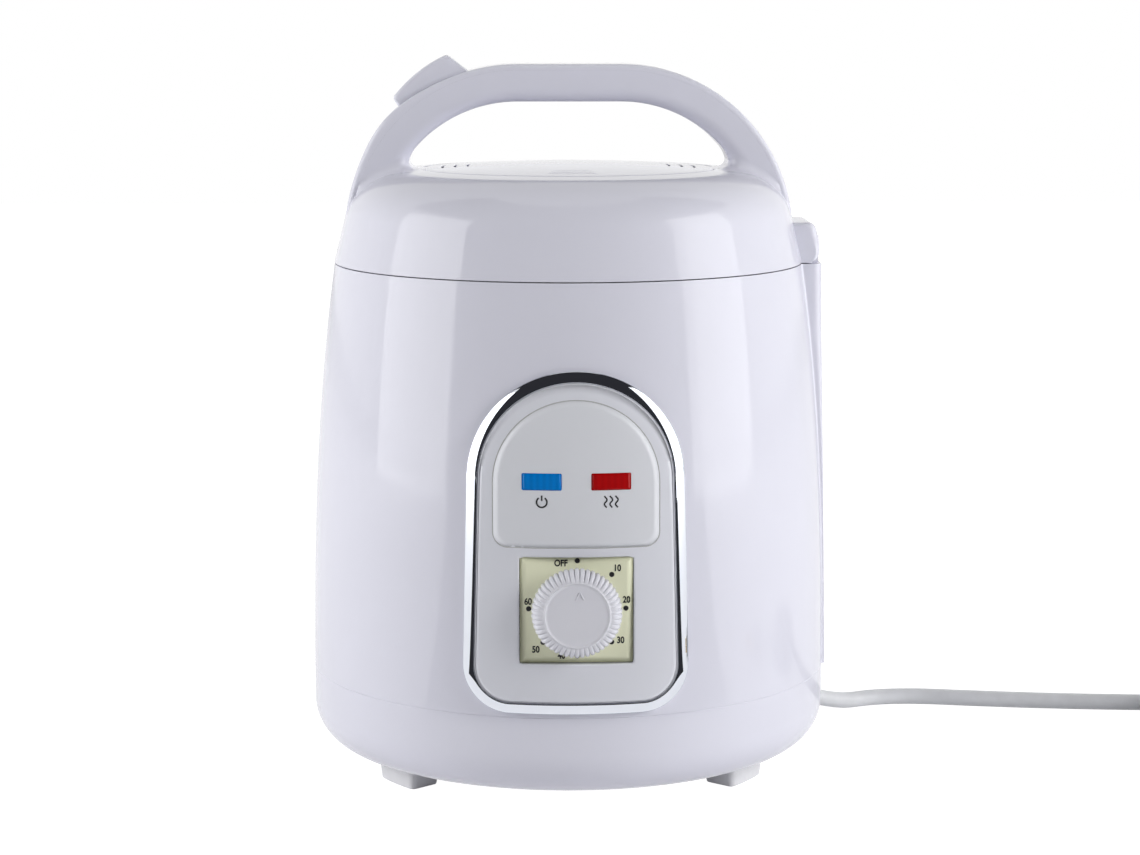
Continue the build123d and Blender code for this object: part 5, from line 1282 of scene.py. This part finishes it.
@dataclass
class Handle:
    """The carrying handle: the arched channel and the cover strip on its back."""

    centre_x: float = 18.9
    axis: float = 195.5
    inner: float = 49.2
    outer: float = 60.6
    crown: float = 62.8
    half: float = 13.0
    blend: float = 5.0  # reach of the fillet into the lid
    inner_blend: float = 10.0  # and on the side that faces the opening
    seam: float = 0.005
    rows: int = 56
    sink: float = 0.12
    swell: float = 1.5
    swell_middle: float = 48.0
    swell_spread: float = 10.5
    probe: float = 0.01  # step that the slope of the distance is taken over
    channel_corners: Tuple[float, ...] = (4.8, 4.8, 0.04, 0.04)  # rounded below, sharp under the strip
    strip_corners: Tuple[float, ...] = (0.04, 0.04, 1.9, 1.9)
    strip_blend: float = 0.8

    def at(self, along: np.ndarray, radius: np.ndarray, depth: np.ndarray) -> np.ndarray:
        """A point of the arch: straight over the middle, then round the arc's centre.

        Args:
            along: length from the middle of the handle at the crown's radius.
            radius: distance from the arch's centre line.
            depth: place across the handle.

        Returns:
            The points.
        """
        side = np.sign(along)
        length = np.abs(along)
        angle = np.maximum(length - self.centre_x, 0) / self.crown
        x = side * (np.minimum(length, self.centre_x) + radius * np.sin(angle))
        return np.stack([x, depth + 0 * along, self.axis + radius * np.cos(angle)], axis=-1)

    def lid_normal(self, points: np.ndarray) -> np.ndarray:
        """The lid's outward direction at points: the slope of the distance to it."""
        steps = np.eye(3) * self.probe
        slope = [LID.distance(points + step) - LID.distance(points - step) for step in steps]
        slope = np.stack(slope, axis=-1)
        return slope / np.linalg.norm(slope, axis=-1, keepdims=True)

    def feet_of(self, section: np.ndarray) -> np.ndarray:
        """The length along the arch at which each line of points meets the lid, found by halving."""
        low = np.full(len(section), self.centre_x + radians(35) * self.crown)
        high = np.full(len(section), self.centre_x + radians(112) * self.crown)
        for _ in range(30):
            middle = (low + high) / 2
            outside = LID.distance(self.at(middle, section[:, 0], section[:, 1])) > 0
            low, high = np.where(outside, middle, low), np.where(outside, high, middle)
        return low

    def blended(self, section: np.ndarray, normal: np.ndarray, reach: np.ndarray) -> np.ndarray:
        """A section carried along the arch and onto the lid, with a fillet.

        Each line of points runs down the arch to A, a reach above the lid. From there it follows the
        quadratic curve (1 - t)^2 A + 2 t (1 - t) C + t^2 B by the corner C to B, a reach away on the lid.

        Args:
            section: points x 2, radius and depth.
            normal: points x 2, the section's outward directions.
            reach: the fillet's reach for each point.

        Returns:
            rows x points x 3, from one foot over the top to the other.
        """
        foot = self.feet_of(section)
        start = foot - reach * self.crown / section[:, 0]
        share = 1 - (1 - np.linspace(0, 1, self.rows)) ** 1.3
        arch = self.at(share[:, None] * start[None, :], section[:, 0], section[:, 1])
        corner = self.at(foot, section[:, 0], section[:, 1])
        angle = (foot - self.centre_x) / self.crown
        facing = np.stack([normal[:, 0] * np.sin(angle), normal[:, 1], normal[:, 0] * np.cos(angle)], axis=1)
        up = self.lid_normal(corner)
        away = facing - (facing * up).sum(axis=1, keepdims=True) * up
        away = away / np.linalg.norm(away, axis=1, keepdims=True)
        landing = corner + away * reach[:, None]
        landing = landing - self.lid_normal(landing) * (LID.distance(landing) + self.sink)[:, None]
        t = np.linspace(0, 1, 13)[1:, None, None]
        bend = (1 - t) ** 2 * arch[-1] + 2 * t * (1 - t) * corner + t**2 * landing
        half = np.concatenate([arch, bend])
        return np.concatenate([half[:0:-1] * np.array([-1, 1, 1]), half])

    def outward(self, section: np.ndarray) -> np.ndarray:
        """Unit directions across a closed section, away from its inside."""
        along = np.roll(section, -1, axis=0) - np.roll(section, 1, axis=0)
        normal = np.stack([along[:, 1], -along[:, 0]], axis=1)
        normal = normal / np.linalg.norm(normal, axis=1, keepdims=True)
        facing = (normal * (section - section.mean(axis=0))).sum()
        return normal if facing > 0 else -normal

    def ring(self, low: float, high: float, radii: Sequence[float]) -> np.ndarray:
        """A section between two radii across the handle's depth: arcs at the corners, points between them."""
        half = self.half
        corners = np.array([(low, -half), (low, half), (high, half), (high, -half)])
        return with_sides(round_corners(corners, radii, 8).reshape(4, 8, 2), (20, 8))

    def arch(self) -> Skin:
        """The channel moulding, rounded below, sharp below the cover strip, and filleted into the lid."""
        section = self.ring(self.inner, self.outer - self.seam, self.channel_corners)
        normal = self.outward(section)
        reach = 0.5 + (self.blend - 0.5) * np.clip(1 - normal[:, 0], 0, 1)
        reach = reach + (self.inner_blend - self.blend) * np.clip(-normal[:, 0], 0, 1)
        return self.closed(self.blended(section, normal, reach))

    def closed(self, points: np.ndarray) -> Skin:
        """A tube of rings with both ends drawn to a point inside the lid."""
        ends = []
        for ring in (points[0], points[-1]):
            middle = ring.mean(axis=0) * np.array([0.96, 1, 1]) - np.array([0, 0, 2])
            ends.append(np.repeat(middle[None], len(ring), axis=0))
        return tube(np.concatenate([[ends[0]], points, [ends[1]]]))

    def strip(self) -> Skin:
        """The cover strip: a thin rounded band along the arch's back."""
        section = self.ring(self.outer + self.seam, self.crown, self.strip_corners)
        reach = np.full(len(section), self.strip_blend)
        return self.closed(self.swollen(self.blended(section, self.outward(section), reach)))

    def swollen(self, points: np.ndarray) -> np.ndarray:
        """The strip's back pushed outward over the button's mechanism.

        On the left arm the radius grows by swell exp(-((angle - middle) / spread)^2 / 2), in full at the
        crown and not at all at the seam.

        Args:
            points: the strip's points.

        Returns:
            The points, moved.
        """
        across = -points[..., 0] - self.centre_x
        up = points[..., 2] - self.axis
        radius = np.hypot(across, up)
        angle = np.degrees(np.arctan2(across, up))
        depth = np.clip((radius - self.outer - self.seam) / (self.crown - self.outer - self.seam), 0, 1)
        growth = self.swell * depth * np.exp(-(((angle - self.swell_middle) / self.swell_spread) ** 2) / 2)
        growth = np.where(across > 0, growth, 0)
        moved = points.copy()
        moved[..., 0] -= growth * across / radius
        moved[..., 2] += growth * up / radius
        return moved

    def build(self) -> None:
        """Makes the arch and the cover strip."""
        settle(add_piece("handle_arch", [self.arch()]), Body.LID, "white_plastic")
        settle(add_piece("handle_strip", [self.strip()]), Body.LID, "white_plastic", ["handle_cover"])


@dataclass
class ReleaseButton:
    """The block-shaped button on the handle's left shoulder."""

    origin: Tuple[float, float] = (-48.85, 249.85)
    along: Tuple[float, float] = (0.846, 0.533)
    outward: Tuple[float, float] = (-0.533, 0.846)
    half_length: float = 14.6
    half_depth: float = 9.5
    skirt: float = 4.3
    high: float = 7.5
    low: float = 4.9
    slant: float = 4.4
    bulge: float = 6.4  # of the top, times share (1 - share)
    side_edge: float = 1.3

    def loop(self, inset: float) -> np.ndarray:
        """Side outline: skirt, slanted end, crowned top and square end, inside an inset."""
        half = self.half_length - inset
        across = np.linspace(half - self.slant, -half, 17)
        share = (half - self.slant - across) / (2 * half - self.slant)
        top = self.high + (self.low - self.high) * share + self.bulge * share * (1 - share) - inset
        crown = np.stack([across, top], axis=1)
        corners = np.array([(-half, -self.skirt + inset), (half, -self.skirt + inset)])
        right = run(corners[1], crown[0], 5)
        left = run(crown[-1], corners[0], 5)
        outline = np.concatenate([corners, right, crown, left])
        return even_spacing(self.rounded(outline), 120)

    def rounded(self, outline: np.ndarray) -> np.ndarray:
        """An outline with its corners worn round: each point moves to the mean of its near neighbours."""
        dense = even_spacing(outline, 480)
        kernel = np.ones(13) / 13
        padded = np.concatenate([dense[-6:], dense, dense[:6]])
        return np.stack([np.convolve(padded[:, k], kernel, mode="valid") for k in range(2)], axis=1)

    def block(self) -> Skin:
        """The outline carried along Y, with both side edges rounded."""
        edge, flank = self.side_edge, self.half_depth - self.side_edge
        turn = np.linspace(0, pi / 2, 6)
        levels = [(round(edge * (1 - cos(t)), 6), flank + edge * sin(t)) for t in turn]
        rows = [(inset, -depth) for inset, depth in reversed(levels)] + levels
        sections = []
        for inset, depth in rows:
            loop = self.loop(inset)
            x = self.origin[0] + loop[:, 0] * self.along[0] + loop[:, 1] * self.outward[0]
            z = self.origin[1] + loop[:, 0] * self.along[1] + loop[:, 1] * self.outward[1]
            sections.append(np.stack([x, np.full_like(x, depth), z], axis=1))
        return prism(sections)

    def build(self) -> None:
        """Makes the button."""
        settle(add_piece("button_cap", [self.block()]), Body.BUTTON, "white_plastic", ["release_button"])


# ---------------------------------------------------------------- mains cord
@dataclass
class MainsCord:
    """The mains cord: boot, free cord with its coil, tie and plug."""

    diameter: float = 6.3
    exit_point: Point = (97.17, 51.99, 8.16)
    second: Point = (108.8, 58.23, 3.53)
    route: Tuple[Point, ...] = (
        (124.5, 66.9, 3.3), (141.5, 68.3, 3.3), (161.0, 64.2, 3.3), (188.0, 59.4, 3.3),
        (218.0, 55.8, 3.3), (249.0, 53.6, 3.3), (276.0, 53.2, 3.3),
    )
    tail: Tuple[Point, ...] = (
        (317.9, 14.0, 16.1), (317.4, -2.0, 12.3), (315.9, -19.0, 5.4), (313.6, -35.0, 4.0),
        (311.6, -49.0, 6.4),
    )
    coil_centre: Tuple[float, float] = (280.0, 15.2)
    coil_radii: Tuple[float, ...] = (37.6, 31.3, 31.3, 37.6, 31.3, 37.8)
    coil_heights: Tuple[float, ...] = (4.1, 4.1, 10.4, 10.4, 16.8, 16.8)
    turns: float = 5.25
    points_per_turn: int = 14
    boot_origin: Point = (80.94, 43.31, 14.6)
    boot_axis: Point = (0.8321, 0.4453, -0.3305)
    boot_length: float = 19.5
    boot_radii: Tuple[float, float] = (5.6, 4.2)  # at the root and the tip
    boot_ribs: Tuple[float, float] = (5.0, 17.0)  # where the ring grooves start and end
    rib_depth: float = 0.45
    length: float = 1.39  # metres, as declared

    def coil(self) -> List[Point]:
        """The coil's control points: clockwise turns whose radius and height step from place to place."""
        count = int(self.turns * self.points_per_turn)
        turn = (np.arange(count) + 0.75) / self.points_per_turn
        starts = np.arange(len(self.coil_radii))
        knots = np.sort(np.concatenate([starts + 0.08, starts + 0.92]))
        radius = np.interp(turn, knots, np.repeat(self.coil_radii, 2))
        height = np.interp(turn, knots, np.repeat(self.coil_heights, 2))
        angle = pi / 2 - 2 * pi * turn
        x = self.coil_centre[0] + radius * np.cos(angle)
        y = self.coil_centre[1] + radius * np.sin(angle)
        return [tuple(point) for point in np.stack([x, y, height], axis=1)]

    def cord(self) -> bpy.types.Object:
        """The cord as one smooth spline through its route, its coil and its tail."""
        points = [self.exit_point, self.second, *self.route, *self.coil(), *self.tail]
        curve = bpy.data.curves.new("mains_lead", "CURVE")
        curve.dimensions = "3D"
        curve.resolution_u = 8
        curve.bevel_depth = self.diameter / 2 * MM
        curve.bevel_resolution = 5
        curve.use_fill_caps = True
        spline = curve.splines.new("NURBS")
        spline.points.add(len(points) - 1)
        for point, place in zip(spline.points, points):
            point.co = (place[0] * MM, place[1] * MM, place[2] * MM, 1)
        spline.order_u = 3
        spline.use_endpoint_u = True
        return place_in_scene("mains_lead", curve)

    def boot(self) -> Skin:
        """The tapered strain relief: a turned sleeve that narrows from root to tip, with ring grooves."""
        along = np.linspace(0, self.boot_length, 90)
        root, tip = self.boot_radii
        start, end = self.boot_ribs
        taper = root + (tip - root) * (along / self.boot_length)
        ribbed = (along > start) & (along < end)
        wave = np.sin((along - start) / (end - start) * pi * 9)
        groove = np.where(ribbed, self.rib_depth * np.clip(wave, 0, 1), 0)
        radius = taper - groove
        radius[-4:] -= (0.05, 0.2, 0.4, 0.7)
        outer = np.stack([radius, along], axis=1)
        profile = np.concatenate([[(0, 0)], outer, [(3.1, self.boot_length), (0, self.boot_length)]])
        skin = turned(profile, 48)
        return Skin(about_axis(skin.points, self.boot_origin, self.boot_axis), skin.quads)

    def tie(self) -> Skin:
        """The tie: a flat band wrapped round the coil's section, with rounded corners."""
        low, high = box_mm("coil_tie")
        middle_x, middle_z = (low[0] + high[0]) / 2, (low[2] + high[2]) / 2
        width, height = high[0] - low[0], high[2] - low[2]
        outline = box_loop(width, height, 4.0, (middle_x, middle_z))
        edge = [(0.0, 0.3), (0.15, 0.05), (0.4, 0.0), (0.75, 0.05), (0.8, 0.3)]  # inset and depth
        rows = [(inset, low[1] + depth) for inset, depth in edge]
        rows += [(inset, high[1] - depth) for inset, depth in reversed(edge)]
        grid = [np.insert(outline(inset), 1, y, axis=1) for inset, y in rows]
        return tube(np.stack(grid), ring_rows=True)

    def build(self) -> None:
        settle(add_piece("cord_boot", [self.boot()]), Body.BASE, "cord_sheath", ["strain_relief"])
        tie = add_piece("tie_band", [self.tie()])
        settle(tie, Body.BASE, "tie_plastic", ["coil_tie"])
        cord = self.cord()
        settle(cord, Body.BASE, "cord_sheath", ["mains_cord", "cord_coil", "cord_tail"])
        tuple(value * MM for value in self.exit_point)


# ---------------------------------------------------------------- kept pieces
def dress_kept_nodes() -> None:
    """Gives every CAD node that stays the finish of its material slot."""
    slots = {part["node"]: part["material_slot"] for part in frame["record"]["subparts"]}
    for name, node in frame["nodes"].items():
        material = finish(slots[name])
        for place in node.material_slots:
            place.material = material
        log.info("%s wears %s", name, slots[name])


# ---------------------------------------------------------------- studio
def math_node(tree: bpy.types.NodeTree, operation: str, *values: object) -> bpy.types.NodeSocket:
    """The output of a math node, whose inputs are sockets or numbers."""
    node = tree.nodes.new("ShaderNodeMath")
    node.operation = operation
    for socket, value in zip(node.inputs, values):
        if isinstance(value, bpy.types.NodeSocket):
            tree.links.new(value, socket)
        else:
            socket.default_value = value
    return node.outputs[0]


@dataclass
class Studio:
    """Pale floor, white surround, soft boxes, dark cloth seen in reflections, and camera."""

    camera_place: Point = (-29.6, -1018.0, 277.6)
    camera_turn: float = 1.7
    camera_fall: float = 8.581
    lens: float = 87.4
    floor_half: float = 3.0
    aim: Point = (0.0, 0.0, 0.13)
    world_dim: float = 0.04  # the world's strength for all but direct sight and reflections
    floor_glow: float = 1.5
    floor_share: float = 0.68  # how much of the floor's look is glow, in direct sight
    gloss_share: float = 0.6  # of that, in reflections
    # azimuth from and to, elevation from and to, in degrees
    drape_patches: Tuple[Tuple[float, float, float, float], ...] = (
        (-55.0, 59.0, -3.0, 70.0), (-105.0, -55.0, 38.0, 70.0), (59.0, 110.0, 38.0, 70.0),
    )
    drape_radius: float = 2.3
    cloth_azimuth: Tuple[float, float] = (-55.0, 59.0)
    cloth_reach: Tuple[float, float] = (0.23, 2.3)
    cloth_lift: float = 0.001
    # name, place and size in metres, power in watts, whether reflections show it
    lights: Tuple[Tuple[str, Point, Tuple[float, float], float, bool], ...] = (
        ("softbox_left", (-1.31, -0.34, 0.4), (1.0, 1.2), 7.0, True),
        ("softbox_right", (1.27, -0.45, 0.42), (0.85, 1.25), 6.4, True),
        ("fill_left", (-1.6, -0.2, 0.7), (0.9, 0.9), 14.5, False),
        ("fill_right", (1.5, -0.82, 0.8), (0.9, 0.9), 20.0, False),
        ("fill_back", (0.2, 1.6, 0.9), (1.2, 1.0), 9.0, False),
        ("fill_low", (0.1, -1.5, 0.12), (1.2, 0.2), 0.5, False),
    )

    def camera(self) -> None:
        """Sets the camera."""
        camera = bpy.data.cameras.new("camera")
        camera.lens = self.lens
        camera.sensor_width = 36
        camera.clip_end = 50
        piece = place_in_scene("camera", camera)
        piece.location = Vector(self.camera_place) * MM
        piece.rotation_euler = (radians(90 - self.camera_fall), 0, -radians(self.camera_turn))
        bpy.context.scene.camera = piece

    def sight(self, tree: bpy.types.NodeTree) -> Tuple[bpy.types.NodeSocket, bpy.types.NodeSocket]:
        """Two switches: one for rays from the camera or through glass, and one for reflections."""
        path = tree.nodes.new("ShaderNodeLightPath").outputs
        direct = math_node(tree, "MAXIMUM", path["Is Camera Ray"], path["Is Transmission Ray"])
        return direct, path["Is Glossy Ray"]

    def world(self) -> None:
        """White to the eye, to gloss and to glass, and a dim fill light to everything else."""
        world = bpy.data.worlds.new("studio")
        bpy.context.scene.world = world
        world.use_nodes = True
        tree = world.node_tree
        background = tree.nodes["Background"]
        background.inputs["Color"].default_value = (1, 1, 1, 1)
        level = tree.nodes.new("ShaderNodeMapRange")
        level.inputs["To Min"].default_value = self.world_dim
        level.inputs["To Max"].default_value = 1.0
        tree.links.new(math_node(tree, "MAXIMUM", *self.sight(tree)), level.inputs["Value"])
        tree.links.new(level.outputs["Result"], background.inputs["Strength"])

    def floor(self) -> None:
        """A pale floor that partly glows where it is seen, so that it looks white and keeps a shadow."""
        half = self.floor_half / MM
        grid = np.array([[(-half, -half, 0.0), (half, -half, 0.0)], [(-half, half, 0.0), (half, half, 0.0)]])
        mesh = bpy.data.meshes.new("floor")
        mesh.from_pydata((grid.reshape(-1, 3) * MM).tolist(), [], [(0, 1, 3, 2)])
        piece = place_in_scene("floor", mesh)
        material = bpy.data.materials.new("floor_paper")
        material.use_nodes = True
        tree = material.node_tree
        shader = tree.nodes["Principled BSDF"]
        shader.inputs["Base Color"].default_value = (0.86, 0.86, 0.88, 1)
        shader.inputs["Roughness"].default_value = 0.9
        glow = tree.nodes.new("ShaderNodeEmission")
        glow.inputs["Strength"].default_value = self.floor_glow
        mix = tree.nodes.new("ShaderNodeMixShader")
        direct, gloss = self.sight(tree)
        seen = math_node(tree, "MULTIPLY_ADD", gloss, self.gloss_share, direct)
        tree.links.new(math_node(tree, "MULTIPLY", seen, self.floor_share), mix.inputs[0])
        tree.links.new(shader.outputs[0], mix.inputs[1])
        tree.links.new(glow.outputs[0], mix.inputs[2])
        tree.links.new(mix.outputs[0], tree.nodes["Material Output"].inputs["Surface"])
        mesh.materials.append(material)

    def drape(self) -> None:
        """Dark cloth round the camera's side, above the soft boxes and on the floor, for reflections only."""
        material = bpy.data.materials.new("drape_cloth")
        material.use_nodes = True
        tree = material.node_tree
        cloth = tree.nodes.new("ShaderNodeEmission")
        cloth.inputs["Color"].default_value = (0.03, 0.03, 0.035, 1)
        tree.links.new(cloth.outputs[0], tree.nodes["Material Output"].inputs["Surface"])
        patches = enumerate(self.drape_patches)
        meshes = [self.drape_patch(f"drape_{number}", patch) for number, patch in patches]
        for mesh in meshes + [self.floor_cloth()]:
            mesh.materials.append(material)
            piece = place_in_scene(mesh.name, mesh)
            piece.visible_camera = False
            piece.visible_diffuse = False
            piece.visible_transmission = False
            piece.visible_shadow = False

    def drape_patch(self, name: str, patch: Tuple[float, float, float, float]) -> bpy.types.Mesh:
        """A patch of a sphere about the pot.

        Its points are radius (sin a cos e, -cos a cos e, sin e) for azimuth a and elevation e.

        Args:
            name: the mesh's name.
            patch: azimuth from and to, elevation from and to, in degrees.

        Returns:
            The mesh.
        """
        azimuth = np.radians(np.linspace(patch[0], patch[1], 25))[:, None]
        rise = np.radians(np.linspace(patch[2], patch[3], 17))[None, :]
        points = [np.sin(azimuth) * np.cos(rise), -np.cos(azimuth) * np.cos(rise), np.sin(rise) + 0 * azimuth]
        return self.cloth_mesh(name, np.stack(points, axis=-1) * self.drape_radius + np.array(self.aim))

    def floor_cloth(self) -> bpy.types.Mesh:
        """Cloth on the floor round the camera's side: points (r sin a, -r cos a, lift) for an azimuth a."""
        azimuth = np.radians(np.linspace(*self.cloth_azimuth, 25))[:, None]
        radius = np.linspace(*self.cloth_reach, 9)[None, :]
        points = [radius * np.sin(azimuth), -radius * np.cos(azimuth), self.cloth_lift + 0 * radius * azimuth]
        return self.cloth_mesh("floor_cloth", np.stack(points, axis=-1))

    def cloth_mesh(self, name: str, grid: np.ndarray) -> bpy.types.Mesh:
        """A mesh from a grid of points."""
        quads = cells(np.arange(grid.shape[0] * grid.shape[1]).reshape(grid.shape[:2]), False, False)
        mesh = bpy.data.meshes.new(name)
        mesh.from_pydata(grid.reshape(-1, 3).tolist(), [], quads.reshape(-1, 4).tolist())
        return mesh

    def softbox(
        self, name: str, centre: Point, size: Tuple[float, float], power: float, glossy: bool
    ) -> None:
        """A rectangular area light aimed at the pot.

        Args:
            name: the light's name.
            centre: its place in metres.
            size: width and height in metres.
            power: in watts.
            glossy: whether reflections show it.
        """
        light = bpy.data.lights.new(name, "AREA")
        light.shape = "RECTANGLE"
        light.size, light.size_y = size
        light.energy = power
        piece = place_in_scene(name, light)
        piece.location = centre
        aim = Vector(self.aim) - Vector(centre)
        piece.rotation_euler = aim.to_track_quat("-Z", "Y").to_euler()
        piece.visible_glossy = glossy

    def build(self) -> None:
        """Sets the camera, world, floor, lights and drape."""
        self.camera()
        self.world()
        self.floor()
        for light in self.lights:
            self.softbox(*light)
        self.drape()
        bpy.context.scene.view_settings.view_transform = "Standard"


def main() -> None:
    logging.basicConfig(level=logging.INFO, format="%(name)s: %(message)s")
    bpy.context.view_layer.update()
    dress_kept_nodes()
    ShellMoulding().build()
    TrayMoulding().build()
    panel = ControlPanel()
    panel.build()
    Markings(panel).build()
    TimerKnob().build()
    LidMoulding().build()
    Handle().build()
    ReleaseButton().build()
    MainsCord().build()
    Studio().build()
    bpy.context.view_layer.update()


if __name__ == "__main__":
    main()
